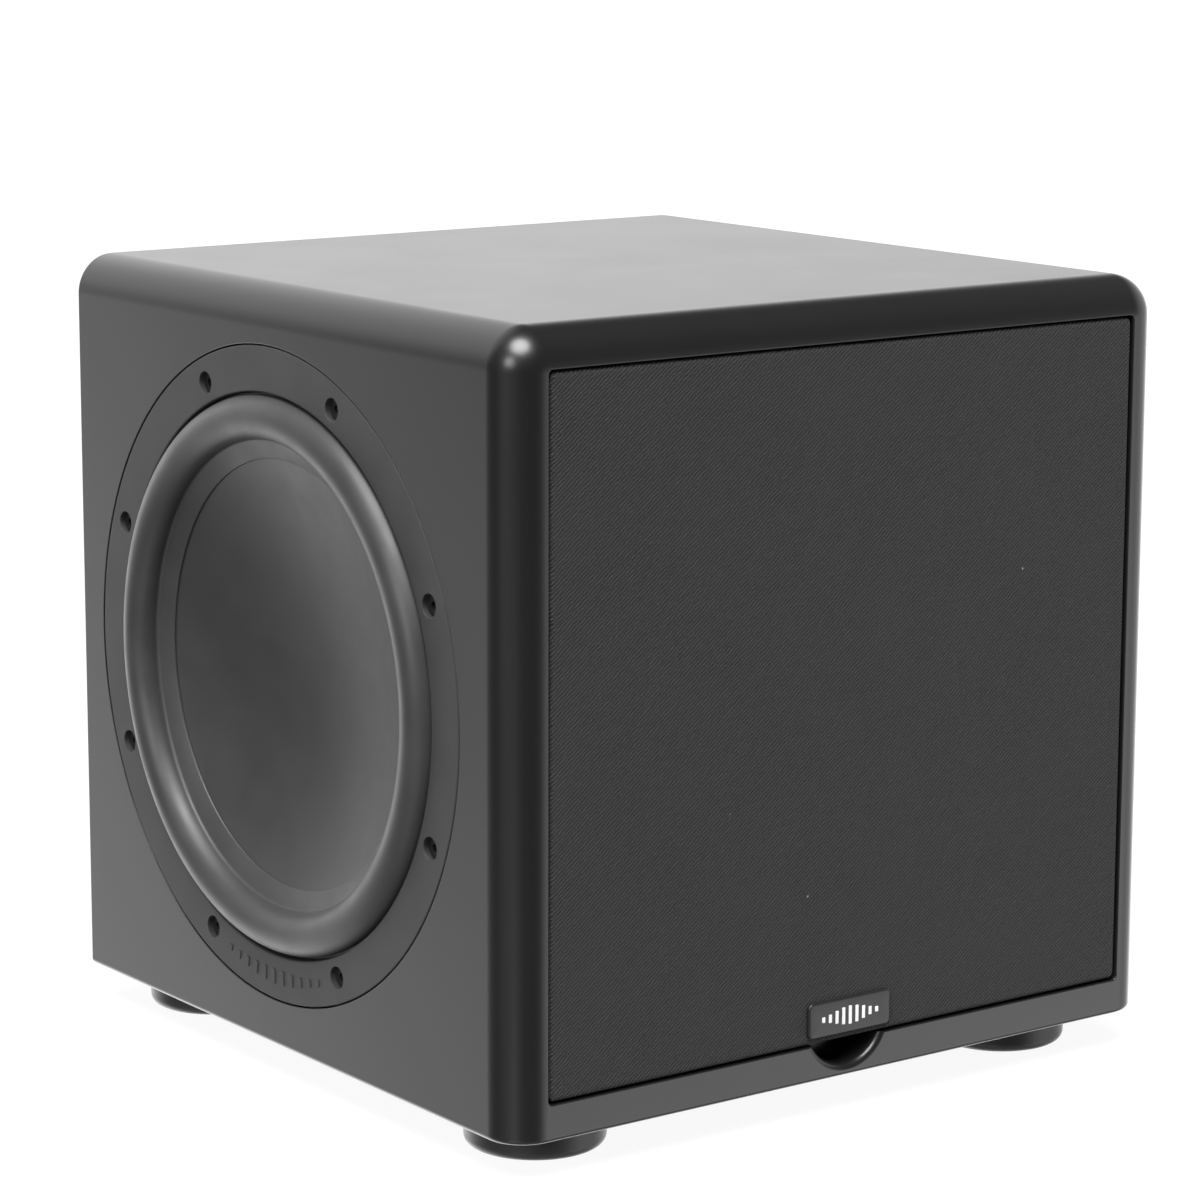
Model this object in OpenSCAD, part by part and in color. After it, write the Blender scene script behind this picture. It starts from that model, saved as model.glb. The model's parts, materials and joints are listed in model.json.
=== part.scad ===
// Powered subwoofer. A rounded cabinet stands on four round feet, with a woofer
// behind a pull-off cloth grille, a passive radiator in each side and a plate
// amplifier in the back. The front faces -Y, the left side -X, the floor is z = 0.

/* [Cabinet] */
// Width of the cabinet from side to side
cab_w = 325; // [322:0.5:330]
// Depth of the cabinet from its front face to its back face
cab_d = 318; // [316:0.5:326]
// Height of the cabinet without its feet
cab_h = 309; // [307:0.5:314]
// Radius of the top edges and of the front upright edges
edge_r = 16.5; // [12:0.5:16.5]
// Thickness of the cabinet's walls
wall_t = 18; // [17:0.5:18]
// Depth of the pocket that the grille drops into
pocket_depth = 20; // [19:0.5:22]

/* [Feet] */
// Diameter of a foot
foot_d = 56; // [50:1:60]
// Height of a foot
foot_h = 15.5; // [14:0.5:20]
// Distance from a side of the cabinet to a foot's centre
foot_side = 42.5; // [38:0.5:50]
// Distance from the front face to a front foot's centre
foot_front = 45; // [40:0.5:50]
// Distance from the back face to a rear foot's centre
foot_back = 33.5; // [32:0.5:50]

/* [Grille] */
// Width of the pocket in the front
grille_w = 291.5; // [290:0.5:292]
// Height of the pocket in the front
grille_h = 278.7; // [276:0.1:279]
// Height of the pocket's lower edge above the cabinet's underside
grille_low = 14.8; // [14:0.1:16]
// Gap all round the grille
grille_gap = 0.9; // [0.6:0.1:1.2]
// Thickness of the cloth and the glue under it
cloth_t = 0.9; // [0.6:0.1:1.2]
// Depth of the wooden grille frame
grille_t = 15.5; // [14:0.5:16]
// Width of the badge
badge_w = 41.5; // [36:0.5:44]
// Height of the badge
badge_h = 14.4; // [12:0.2:15]
// Thickness of the badge
badge_t = 2; // [1.5:0.1:2.5]
// Radius of the finger notch under the grille
notch_r = 21; // [20:0.5:24]

/* [Drivers] */
// Outer diameter of each driver's frame
flange_d = 266; // [264:0.5:266]
// Thickness of each driver's flange
flange_t = 7; // [6:0.5:7]
// Diameter of the circle that the driver screws stand on
screw_circle = 245.5; // [245:0.5:247]
// Number of screws round each driver
screw_count = 8; // [6:1:10]
// Inner diameter of the visible flange
flange_bore = 228.8; // [228:0.2:229]
// Outer radius of the rubber half roll
roll_r = 9; // [8.6:0.1:9.1]

/* [Woofer] */
// Outer radius of the voice coil's former
former_r = 25.7; // [25:0.1:26]
// Diameter of the ring magnet
magnet_d = 140; // [130:1:144]
// Thickness of the ring magnet
magnet_t = 30; // [24:1:32]

/* [Side radiators] */
// Distance from the front face to the radiators' axis
radiator_y = 167.5; // [167:0.5:170]
// Height of the radiators' axis above the cabinet's underside
radiator_z = 152.8; // [152:0.1:156]
// Radius of the spherical dish
dish_r = 200; // [190:1:220]
// Depth of the dish's centre behind the cabinet's side
dish_depth = 28.2; // [27:0.1:29]

/* [Amplifier] */
// Width and height of the amplifier plate
amp_w = 214; // [210:1:216]
// Thickness of the amplifier plate
amp_t = 3; // [2:0.5:3]
// Length of a knob
knob_len = 13.5; // [12:0.5:16]
// Diameter of a knob at its base
knob_d = 19; // [16:0.5:21]

/* [Hidden] */
$fn = 96;

// Small allowance by which a cutter passes the face that it cuts.
over = 1;

// Gap that a shaft keeps in its bore, all round
running_gap = 0.05;
// Gap between pieces that move past each other
free_gap = 0.4;

// The cloth's face stands this far behind the cabinet's front face
cloth_recess = 0.4;
mark_t = 0.3;
// The badge's lower edge stands this far above the pocket's
badge_up = 3.6;
knob_lift = 1;

// The origin is at the middle of the whole object's box, on the floor
front_proud = badge_t + mark_t - cloth_recess;
rear_proud = knob_lift + knob_len;
front_y = -(cab_d + rear_proud - front_proud) / 2;
back_y = front_y + cab_d;
base_z = foot_h;
top_z = base_z + cab_h;
mid_z = base_z + cab_h / 2;
inner_w = cab_w - 2 * wall_t;
inner_h = cab_h - 2 * wall_t;
grille_mid_z = base_z + grille_low + grille_h / 2;

// Driver cut-outs, shared by the woofer and both radiators
gasket_t = 1.5;
flange_r = flange_d / 2;
rebate_r = flange_r + 0.6;
rebate_depth = flange_t + gasket_t;
cutout_r = flange_bore / 2 + 2.8;
basket_r = cutout_r - 0.6;
screw_hole_r = 2.2;
head_r = 4.2;
head_recess_r = 4.6;
head_recess = 4.6;
head_h = 2.4;
screw_len = 15;

// Suspension, as radii and depths behind the flange's face
lip_r = flange_bore / 2 - 0.2;
lip_t = 1.2;
roll_z = 3.2;
roll_c = lip_r - 0.9 - roll_r;
rubber_t = 1.1;
rubber_edge_r = 87.1;
rubber_edge_z = 7.1;
rim_r = 94;
cone_t = 1.6;
leg_count = 6;
leg_angle = 16;
leg_top_z = 21;
web_t = 3.5;

// Woofer, as depths behind its flange's face
neck_z = 52;
cap_r = 40;
cap_rise = 12;
shelf_r = 70;
woofer_spider_z = 62;
basket_back_z = 85;
plate_t = 8;
basket_neck_r = 78;
basket_neck_z = 66;
leg_slope = atan((basket_r - basket_neck_r) / (basket_neck_z - leg_top_z));
coil_t = 1.4;
former_t = 0.4;
top_plate_z = basket_back_z + 3;
magnet_z = top_plate_z + plate_t;
yoke_z = magnet_z + magnet_t;

// Side radiators, as depths behind the flange's face
hub_r = 30;
hub_t = 1.5;
hub_end_z = 57;
hub_plate_t = 2.5;
radiator_spider_z = 50;
radiator_ring_r = 58;
weight_t = 10;
bolt_r = 3;

// Grille pegs and their cups
peg_r = 3.5;
peg_x = 128;
peg_z = 118;
peg_tip = 10;
cup_r = 5.4;
cup_len = 13;

// Amplifier
amp_rebate = amp_t + gasket_t;
amp_hole_w = 190;
board_z = -32;
board_t = 1.6;
board_w = 176;
board_h = 150;
amp_screw_at = amp_w / 2 - 6;
knob_y = 68;
gain_x = -66;
crossover_x = -22;
switch_x = 32;
phase_y = 76;
mode_y = 54;
led_at = [72, 66];
jack_x = [-70, -48];
jack_y = [18, -4];
jack_r = 4.15;
jack_len = 9.5;
inlet_at = [-56, -62];
rocker_at = [-6, -62];
sink_x = [28, 94];
sink_y = [-88, 18];
fin_h = 11;
fin_count = 9;
knob_shaft_r = 3;

// Points of an arc round c, from angle a0 to a1, in n steps.
function arc(c, r, a0, a1, n) = [
    for (i = [0:n]) let (a = a0 + (a1 - a0) * i / n) [c[0] + r * cos(a), c[1] + r * sin(a)]
];

// Outline of a w by h rectangle about the origin with corners of radius r.
function rounded(w, h, r) = concat(
    arc([w / 2 - r, h / 2 - r], r, 0, 90, 6),
    arc([r - w / 2, h / 2 - r], r, 90, 180, 6),
    arc([r - w / 2, r - h / 2], r, 180, 270, 6),
    arc([w / 2 - r, r - h / 2], r, 270, 360, 6)
);

// Depth of the radiator's dish at radius r.
function dish(r) = dish_depth - dish_r + sqrt(dish_r * dish_r - r * r);

// Depth of the front of the woofer's cone at radius r.
function cone_z(r) = r > rubber_edge_r ? dish(r)
    : dish(rubber_edge_r) + (rubber_edge_r - r) * cone_slope;
cone_slope = (neck_z - dish(rubber_edge_r)) / (rubber_edge_r - former_r);

// Point t of the way along a cubic curve with four control points.
function cubic(p, t) = pow(1 - t, 3) * p[0] + 3 * pow(1 - t, 2) * t * p[1]
    + 3 * (1 - t) * t * t * p[2] + pow(t, 3) * p[3];

// Direction of a route at its point i.
function heading(p, i) = let (d = p[min(i + 1, len(p) - 1)] - p[max(i - 1, 0)]) d / norm(d);

// Places what follows on the woofer's axis, with +Z going into the cabinet.
module on_woofer() {
    translate([0, front_y + pocket_depth, mid_z]) rotate([-90, 0, 0]) children();
}

// The same on a radiator's axis: side is -1 on the left and 1 on the right.
module on_radiator(side) {
    mirror([side > 0 ? 1 : 0, 0, 0])
        translate([-cab_w / 2, front_y + radiator_y, base_z + radiator_z])
            rotate([0, 90, 0]) children();
}

// On the amplifier plate: x to the right and y up as seen from behind, +Z out.
module on_rear() {
    translate([0, back_y, mid_z]) rotate([90, 0, 180]) children();
}

// On the front face, y up, +Z going into the cabinet from depth z.
module from_front(z = 0) {
    translate([0, front_y + z, 0]) rotate([90, 0, 0]) mirror([0, 0, 1]) children();
}

module spokes(count, start = 0) {
    for (i = [0:count - 1]) rotate([0, 0, start + 360 * i / count]) children();
}

module ring(r_out, r_in, z, h) {
    translate([0, 0, z]) difference() {
        cylinder(r = r_out, h = h);
        translate([0, 0, -over]) cylinder(r = r_in, h = h + 2 * over);
    }
}

// A tube of radius r along a list of points, closed at both ends.
module tube(points, r, up, sides = 8) {
    count = len(points);
    verts = [
        for (i = [0:count - 1])
            let (t = heading(points, i), a = cross(t, up) / norm(cross(t, up)), b = cross(a, t))
                for (k = [0:sides - 1])
                    points[i] + r * (cos(360 * k / sides) * a + sin(360 * k / sides) * b)
    ];
    walls = [
        for (i = [0:count - 2], k = [0:sides - 1])
            let (n = (k + 1) % sides)
                [i * sides + k, i * sides + n, (i + 1) * sides + n, (i + 1) * sides + k]
    ];
    first = [[for (k = [sides - 1:-1:0]) k]];
    last = [[for (k = [0:sides - 1]) (count - 1) * sides + k]];
    polyhedron(points = verts, faces = concat(first, walls, last));
}

// ---- Cabinet ----

module quarter_disc(r) {
    intersection() {
        circle(r);
        square(2 * r);
    }
}

// A slab w wide and h high above y = 0 whose upper corners are rounded.
module arched(w, h, r) {
    translate([r - w / 2, 0]) square([w - 2 * r, h]);
    for (side = [0, 1]) mirror([side, 0]) {
        if (h > r) translate([w / 2 - r, 0]) square([r, h - r]);
        translate([w / 2 - r, h - r]) quarter_disc(r);
    }
}

// The whole outer block: round along the top edges and the front uprights, with
// a ball at each upper front corner.
module cabinet_block() {
    straight_w = cab_w - 2 * edge_r;
    translate([0, back_y, base_z]) linear_extrude(cab_h - edge_r)
        mirror([0, 1]) arched(cab_w, cab_d, edge_r);
    translate([0, back_y, top_z - edge_r]) rotate([90, 0, 0])
        linear_extrude(cab_d - edge_r) arched(cab_w, edge_r, edge_r);
    translate([-straight_w / 2, front_y + edge_r, top_z - edge_r]) rotate([90, 0, 90])
        linear_extrude(straight_w) mirror([1, 0]) quarter_disc(edge_r);
    for (side = [0, 1]) mirror([side, 0, 0])
        translate([straight_w / 2, front_y + edge_r, top_z - edge_r]) intersection() {
            sphere(edge_r);
            translate([0, -2 * edge_r, 0]) cube(2 * edge_r);
        }
}

// Hole and rebate that a driver sits in, cut from its face inwards.
module driver_cut() {
    translate([0, 0, -over]) cylinder(r = rebate_r, h = rebate_depth + over);
    translate([0, 0, -over]) cylinder(r = cutout_r, h = wall_t + 3 * over);
}

module driver_screw_cuts() {
    spokes(screw_count, 180 / screw_count)
        translate([screw_circle / 2, 0, rebate_depth - over])
            cylinder(r = screw_hole_r - 0.2, h = screw_len - rebate_depth + 2 * over, $fn = 24);
}

module foot_places() {
    for (side = [-1, 1]) {
        translate([side * (cab_w / 2 - foot_side), front_y + foot_front, 0]) children();
        translate([side * (cab_w / 2 - foot_side), back_y - foot_back, 0]) children();
    }
}

module cabinet_shell() {
    color([0.13, 0.13, 0.13]) difference() {
        cabinet_block();
        translate([-inner_w / 2, front_y - over, base_z + wall_t])
            cube([inner_w, cab_d + 2 * over, inner_h]);
        from_front(-over) translate([0, grille_mid_z, 0])
            linear_extrude(pocket_depth + over) polygon(rounded(grille_w, grille_h, 2));
        for (side = [-1, 1]) on_radiator(side) {
            driver_cut();
            driver_screw_cuts();
        }
        from_front(-over) translate([0, base_z + notch_r + 2.9, 0])
            cylinder(r = notch_r, h = 15 + over);
        foot_places() translate([0, 0, base_z - over]) cylinder(r = 2.1, h = 13 + over, $fn = 24);
    }
}

module front_baffle() {
    color([0.1, 0.1, 0.1]) difference() {
        translate([-inner_w / 2, front_y + pocket_depth, base_z + wall_t])
            cube([inner_w, wall_t, inner_h]);
        on_woofer() {
            driver_cut();
            driver_screw_cuts();
        }
        peg_places(pocket_depth - over) cylinder(r = cup_r, h = cup_len + over, $fn = 48);
    }
}

module back_panel() {
    color([0.1, 0.1, 0.1]) difference() {
        translate([-inner_w / 2, back_y - wall_t, base_z + wall_t])
            cube([inner_w, wall_t, inner_h]);
        on_rear() {
            translate([0, 0, -amp_rebate]) linear_extrude(amp_rebate + over)
                polygon(rounded(amp_w + 1, amp_w + 1, 5.5));
            translate([0, 0, -wall_t - over]) linear_extrude(wall_t + 2 * over)
                polygon(rounded(amp_hole_w, amp_hole_w, 8));
            amp_screw_places() translate([0, 0, -14.5]) cylinder(r = 1.7, h = 14, $fn = 24);
        }
    }
}

// A window brace ties the top to the bottom between the magnet and the amplifier.
module cabinet_brace() {
    brace_t = 12;
    color([0.45, 0.36, 0.26]) from_front(190) translate([0, mid_z, 0]) difference() {
        linear_extrude(brace_t) polygon(rounded(124, inner_h, 1));
        translate([0, 0, -over]) linear_extrude(brace_t + 2 * over) polygon(rounded(84, 200, 20));
    }
}

// ---- Feet ----

module foot(left, front) {
    edge = 4;
    x = (left ? -1 : 1) * (cab_w / 2 - foot_side);
    y = front ? front_y + foot_front : back_y - foot_back;
    color([0.05, 0.05, 0.05]) translate([x, y, 0]) rotate_extrude() polygon(concat(
        [[6.5, 0]],
        arc([foot_d / 2 - edge, edge], edge, -90, 0, 6),
        [[foot_d / 2, foot_h], [2.6, foot_h], [2.6, 9], [6.5, 9]]
    ));
}

module foot_screws() {
    color([0.55, 0.55, 0.57]) foot_places() {
        translate([0, 0, 5.5]) difference() {
            cylinder(r = 5, h = 3.5, $fn = 48);
            translate([0, 0, -over]) cylinder(r = 2, h = 1.8 + over, $fn = 6);
        }
        translate([0, 0, 9]) cylinder(r = 2, h = foot_h + 12 - 9, $fn = 24);
    }
}

// ---- Grille ----

cloth_w = grille_w - 2 * grille_gap;
cloth_h = grille_h - 2 * grille_gap;
cloth_z = cloth_recess + cloth_t;

module peg_places(z) {
    for (sx = [-1, 1], sz = [-1, 1]) from_front(z) translate([sx * peg_x, mid_z + sz * peg_z, 0])
        children();
}

module grille_frame() {
    bar = 13;
    color([0.08, 0.08, 0.08]) difference() {
        from_front(cloth_z) translate([0, grille_mid_z, 0]) difference() {
            linear_extrude(grille_t) polygon(rounded(cloth_w - 2 * cloth_t, cloth_h - 2 * cloth_t, 2));
            translate([0, 0, -over]) linear_extrude(grille_t + 2 * over)
                polygon(rounded(cloth_w - 2 * bar, cloth_h - 2 * bar, 36));
        }
        peg_places(cloth_z + grille_t - 6) cylinder(r = 2, h = 6 + over, $fn = 24);
    }
}

module grille_cloth() {
    color([0.22, 0.22, 0.22]) from_front(cloth_recess) translate([0, grille_mid_z, 0]) difference() {
        linear_extrude(cloth_t + grille_t) polygon(rounded(cloth_w, cloth_h, 2.5));
        translate([0, 0, cloth_t]) linear_extrude(grille_t + over)
            polygon(rounded(cloth_w - 2 * cloth_t, cloth_h - 2 * cloth_t, 2));
    }
}

module on_badge(z) {
    from_front(z) translate([0, base_z + grille_low + badge_up + badge_h / 2, 0]) children();
}

module grille_badge() {
    color([0.2, 0.2, 0.2]) on_badge(cloth_recess - badge_t) linear_extrude(badge_t)
        polygon(rounded(badge_w, badge_h, 2));
}

// A plain row of level bars, tallest in the middle.
module badge_mark() {
    bars = 9;
    color([0.85, 0.85, 0.85]) on_badge(cloth_recess - badge_t - mark_t) linear_extrude(mark_t)
        for (i = [0:bars - 1]) translate([(i - (bars - 1) / 2) * 3.4, 0])
            square([1.5, 2 + 5.5 * pow(sin(180 * (i + 0.5) / bars), 2)], center = true);
}

module grille_pins() {
    gap_len = pocket_depth - cloth_z - grille_t;
    color([0.12, 0.12, 0.12]) peg_places(cloth_z + grille_t) {
        cylinder(r = 6.5, h = 1, $fn = 48);
        cylinder(r = peg_r, h = gap_len + peg_tip, $fn = 48);
        translate([0, 0, gap_len + peg_tip]) cylinder(r1 = peg_r, r2 = 2.2, h = 1.5, $fn = 48);
        translate([0, 0, -5.5]) cylinder(r = 1.9, h = 5.5, $fn = 24);
    }
}

module grille_sockets() {
    color([0.05, 0.05, 0.05]) peg_places(pocket_depth) difference() {
        union() {
            translate([0, 0, -1]) cylinder(r = 7.5, h = 1, $fn = 48);
            cylinder(r = cup_r, h = cup_len, $fn = 48);
        }
        translate([0, 0, -1 - over]) cylinder(r = peg_r + running_gap, h = cup_len + over, $fn = 48);
    }
}

// ---- Parts that all three drivers share ----

// Flange with recessed screw holes, the shelf that the rubber is glued to, and
// the wall of the basket. basket adds the rest of the section.
module driver_frame(basket, window, start) {
    color([0.09, 0.09, 0.09]) difference() {
        rotate_extrude() polygon(concat(
            [
                [flange_bore / 2, 0], [flange_r - 0.6, 0], [flange_r, 0.6], [flange_r, flange_t],
                [basket_r, flange_t], [basket_r, leg_top_z]
            ],
            basket,
            [
                [basket_r - 2.4, leg_top_z - 2.5], [basket_r - 2.4, flange_t], [lip_r - 3, flange_t],
                [lip_r - 3, roll_z + lip_t], [flange_bore / 2, roll_z + lip_t]
            ]
        ));
        spokes(screw_count, 180 / screw_count) translate([screw_circle / 2, 0, 0]) {
            translate([0, 0, -over]) cylinder(r = head_recess_r, h = head_recess + over, $fn = 48);
            translate([0, 0, -over]) cylinder(r = screw_hole_r, h = flange_t + 2 * over, $fn = 32);
        }
        spokes(leg_count, start + leg_angle / 2) rotate_extrude(angle = 360 / leg_count - leg_angle)
            polygon([[window[0], 9.5], [basket_r + over, 9.5], [basket_r + over, window[1]],
                [window[0], window[1]]]);
    }
}

// Half-roll rubber surround: outer lip, roll, valley and the flange on the cone.
module driver_surround() {
    color([0.1, 0.1, 0.1]) rotate_extrude() polygon(concat(
        [[lip_r, roll_z + lip_t], [lip_r, roll_z]],
        arc([roll_c, roll_z], roll_r, 0, -180, 20),
        [[rubber_edge_r, rubber_edge_z], [rubber_edge_r, rubber_edge_z + 0.5], [rim_r + 0.6, 4.1]],
        arc([roll_c, roll_z], roll_r - rubber_t, -180, 0, 20),
        [[roll_c + roll_r - rubber_t, roll_z + lip_t]]
    ));
}

// Corrugated cloth ring that keeps a cone centred.
module driver_spider(r_in, r_out, z) {
    flat = 5;
    waves = 4;
    steps = waves * 8;
    swing = 1.5;
    t = 0.6;
    wave = [
        for (i = [0:steps])
            [r_in + (r_out - flat - r_in) * i / steps, z + swing * sin(360 * waves * i / steps)]
    ];
    color([0.75, 0.62, 0.3]) rotate_extrude() polygon(concat(
        wave,
        [[r_out, z], [r_out, z - t]],
        [for (i = [steps:-1:0]) wave[i] - [0, t]]
    ));
}

module driver_screw_set() {
    spokes(screw_count, 180 / screw_count) translate([screw_circle / 2, 0, 0]) {
        translate([0, 0, head_recess - head_h]) difference() {
            cylinder(r = head_r, h = head_h, $fn = 32);
            translate([0, 0, -over]) cylinder(r = 1.6, h = 1.4 + over, $fn = 6);
        }
        translate([0, 0, head_recess]) cylinder(r = 1.9, h = screw_len - head_recess, $fn = 20);
    }
}

module driver_screws() {
    color([0.12, 0.12, 0.12]) {
        on_woofer() driver_screw_set();
        for (side = [-1, 1]) on_radiator(side) driver_screw_set();
    }
}

module driver_gasket() {
    difference() {
        ring(flange_r, cutout_r, flange_t, gasket_t);
        spokes(screw_count, 180 / screw_count) translate([screw_circle / 2, 0, flange_t - over])
            cylinder(r = screw_hole_r, h = gasket_t + 2 * over, $fn = 24);
    }
}

module driver_gaskets() {
    color([0.2, 0.2, 0.2]) {
        on_woofer() driver_gasket();
        for (side = [-1, 1]) on_radiator(side) driver_gasket();
    }
}

// ---- Woofer ----

module woofer_frame() {
    on_woofer() driver_frame([
        [basket_neck_r, basket_neck_z], [basket_neck_r, top_plate_z], [44, top_plate_z],
        [44, basket_back_z], [basket_neck_r - 2.5, basket_back_z],
        [basket_neck_r - 2.5, woofer_spider_z + 3], [shelf_r, woofer_spider_z + 3],
        [shelf_r, woofer_spider_z], [basket_neck_r - 1, woofer_spider_z]
    ], [basket_neck_r + 2, 62], 30);
}

module woofer_surround() {
    on_woofer() driver_surround();
}

module woofer_cone() {
    radii = [rubber_edge_r, 90, 92, rim_r];
    back = cone_t * 1.25;
    color([0.07, 0.07, 0.07]) on_woofer() rotate_extrude() polygon(concat(
        [[former_r, neck_z + back], [former_r, neck_z]],
        [for (r = radii) [r, cone_z(r)]],
        [for (i = [3:-1:0]) [radii[i], cone_z(radii[i]) + back]]
    ));
}

module dust_cap() {
    t = 1;
    rim = cone_z(cap_r);
    ball_r = (cap_r * cap_r + cap_rise * cap_rise) / (2 * cap_rise);
    half = asin(cap_r / ball_r);
    c = [0, rim - cap_rise + ball_r];
    color([0.07, 0.07, 0.07]) on_woofer() rotate_extrude() polygon(concat(
        arc(c, ball_r, -90, half - 90, 14),
        arc(c, ball_r - t, half - 91, -90, 14)
    ));
}

module woofer_spider() {
    on_woofer() driver_spider(former_r + 0.35, basket_neck_r - 3, woofer_spider_z);
}

module coil_former() {
    color([0.7, 0.55, 0.25]) on_woofer() ring(former_r, former_r - former_t, neck_z - 6, 62);
}

module coil_winding() {
    color([0.72, 0.35, 0.18]) on_woofer() ring(former_r + coil_t, former_r, neck_z + 26, 28);
}

module top_plate() {
    color([0.3, 0.3, 0.32]) on_woofer() ring(68, former_r + coil_t + 0.8, top_plate_z, plate_t);
}

module magnet() {
    color([0.16, 0.16, 0.17]) on_woofer() ring(magnet_d / 2, 38, magnet_z, magnet_t);
}

module yoke() {
    pole_r = former_r - former_t - 0.7;
    color([0.3, 0.3, 0.32]) on_woofer() rotate_extrude() polygon([
        [8, top_plate_z], [pole_r, top_plate_z], [pole_r, yoke_z], [64, yoke_z],
        [66, yoke_z + 2], [66, yoke_z + plate_t], [8, yoke_z + plate_t]
    ]);
}

// Two solder tags on a strip of board, past the sides of the basket's top leg.
tag_x = 17;
tag_z = 46;
tag_r = basket_r - (tag_z - leg_top_z) * tan(leg_slope);

module woofer_terminals() {
    color([0.5, 0.4, 0.2]) on_woofer() translate([0, -tag_r, tag_z]) rotate([-leg_slope, 0, 0]) {
        translate([-21, -2.5, -7]) cube([42, 2.5, 12]);
        for (side = [-1, 1]) translate([side * tag_x - 2.5, -4, -7]) cube([5, 1.5, 18]);
    }
}

module tinsel_leads() {
    color([0.75, 0.75, 0.7]) on_woofer() for (side = [-1, 1]) {
        route = [[tag_x, -90, 57.5], [tag_x, -84, 50], [15, -68, 52], [13, -58, cone_z(59) + 3.6]];
        points = [for (i = [0:14]) cubic(route, i / 14)];
        tube([for (p = points) [side * p[0], p[1], p[2]]], 0.8, [1, 0, 0]);
    }
}

// ---- Passive radiators ----

module radiator_frame(side) {
    on_radiator(side) driver_frame([
        [radiator_ring_r + 7, radiator_spider_z + web_t + 1],
        [radiator_ring_r - 5, radiator_spider_z + web_t + 1],
        [radiator_ring_r - 5, radiator_spider_z], [radiator_ring_r + 5, radiator_spider_z]
    ], [radiator_ring_r + 10, 60], 30);
}

module radiator_surround(side) {
    on_radiator(side) driver_surround();
}

// One-piece dish with a tube behind it that carries the spider and the weight.
module radiator_cone(side) {
    steps = 16;
    color([0.11, 0.11, 0.11]) on_radiator(side) rotate_extrude() polygon(concat(
        [for (i = [0:steps]) let (r = rim_r * i / steps) [r, dish(r)]],
        [for (i = [steps:-1:6]) let (r = rim_r * i / steps) [r, dish(r) + cone_t]],
        [
            [hub_r, dish(hub_r) + cone_t], [hub_r, hub_end_z], [bolt_r + 0.2, hub_end_z],
            [bolt_r + 0.2, hub_end_z - hub_plate_t], [hub_r - hub_t, hub_end_z - hub_plate_t],
            [hub_r - hub_t, dish(hub_r) + cone_t]
        ],
        [for (i = [4:-1:0]) let (r = rim_r * i / steps) [r, dish(r) + cone_t]]
    ));
}

module radiator_spider(side) {
    on_radiator(side) driver_spider(hub_r + 0.35, radiator_ring_r, radiator_spider_z);
}

module radiator_weight(side) {
    color([0.5, 0.5, 0.52]) on_radiator(side)
        ring(hub_r - hub_t - 1, bolt_r + 0.2, hub_end_z - hub_plate_t - weight_t, weight_t);
}

module weight_bolt(side) {
    grip = weight_t + hub_plate_t;
    color([0.6, 0.6, 0.62]) on_radiator(side) {
        translate([0, 0, hub_end_z - grip - 4]) cylinder(r = 5.8, h = 4, $fn = 6);
        translate([0, 0, hub_end_z - grip]) cylinder(r = bolt_r, h = grip + 6, $fn = 32);
        translate([0, 0, hub_end_z]) cylinder(r = 5.8, h = 4.5, $fn = 6);
    }
}

// ---- Amplifier ----

module amp_screw_places() {
    a = amp_screw_at;
    for (p = [[-a, -a], [0, -a], [a, -a], [-a, 0], [a, 0], [-a, a], [0, a], [a, a]])
        translate([p[0], p[1], 0]) children();
}

module jack_places() {
    for (x = jack_x, y = jack_y) translate([x, y, 0]) children();
}

module board_posts() {
    for (sx = [-1, 1], sy = [-1, 1]) translate([sx * 80, sy * 67, 0]) children();
}

module amp_plate() {
    color([0.1, 0.1, 0.1]) on_rear() difference() {
        union() {
            translate([0, 0, -amp_t]) linear_extrude(amp_t) polygon(rounded(amp_w, amp_w, 5));
            board_posts() translate([0, 0, board_z]) cylinder(r = 3, h = -board_z - amp_t, $fn = 24);
        }
        amp_screw_places() translate([0, 0, -amp_t - over])
            cylinder(r = 2.2, h = amp_t + 2 * over, $fn = 24);
        for (x = [gain_x, crossover_x]) translate([x, knob_y, -amp_t - over])
            cylinder(r = knob_shaft_r + running_gap, h = amp_t + 2 * over, $fn = 48);
        translate([switch_x, phase_y, -amp_t / 2]) cube([11, 4.6, 2 * amp_t], center = true);
        translate([switch_x, mode_y, -amp_t / 2]) cube([13, 4.6, 2 * amp_t], center = true);
        translate([led_at[0], led_at[1], -amp_t - over])
            cylinder(r = 1.6, h = amp_t + 2 * over, $fn = 32);
        jack_places() translate([0, 0, -amp_t - over])
            cylinder(r = jack_r, h = amp_t + 2 * over, $fn = 48);
        translate([inlet_at[0], inlet_at[1] - 3, -amp_t / 2])
            cube([inlet_body[0], inlet_body[1], 2 * amp_t], center = true);
        translate([rocker_at[0], rocker_at[1], -amp_t / 2])
            cube([rocker_body[0], rocker_body[1], 2 * amp_t], center = true);
    }
}

module amp_gasket() {
    color([0.15, 0.15, 0.15]) on_rear() translate([0, 0, -amp_rebate]) difference() {
        linear_extrude(gasket_t) polygon(rounded(amp_w, amp_w, 5));
        translate([0, 0, -over]) linear_extrude(gasket_t + 2 * over)
            polygon(rounded(amp_hole_w + 2, amp_hole_w + 2, 8));
        amp_screw_places() translate([0, 0, -over]) cylinder(r = 2.2, h = 4, $fn = 24);
    }
}

module amp_board() {
    color([0.1, 0.35, 0.18]) on_rear() translate([0, 0, board_z - board_t])
        linear_extrude(board_t) polygon(rounded(board_w, board_h, 3));
}

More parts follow.
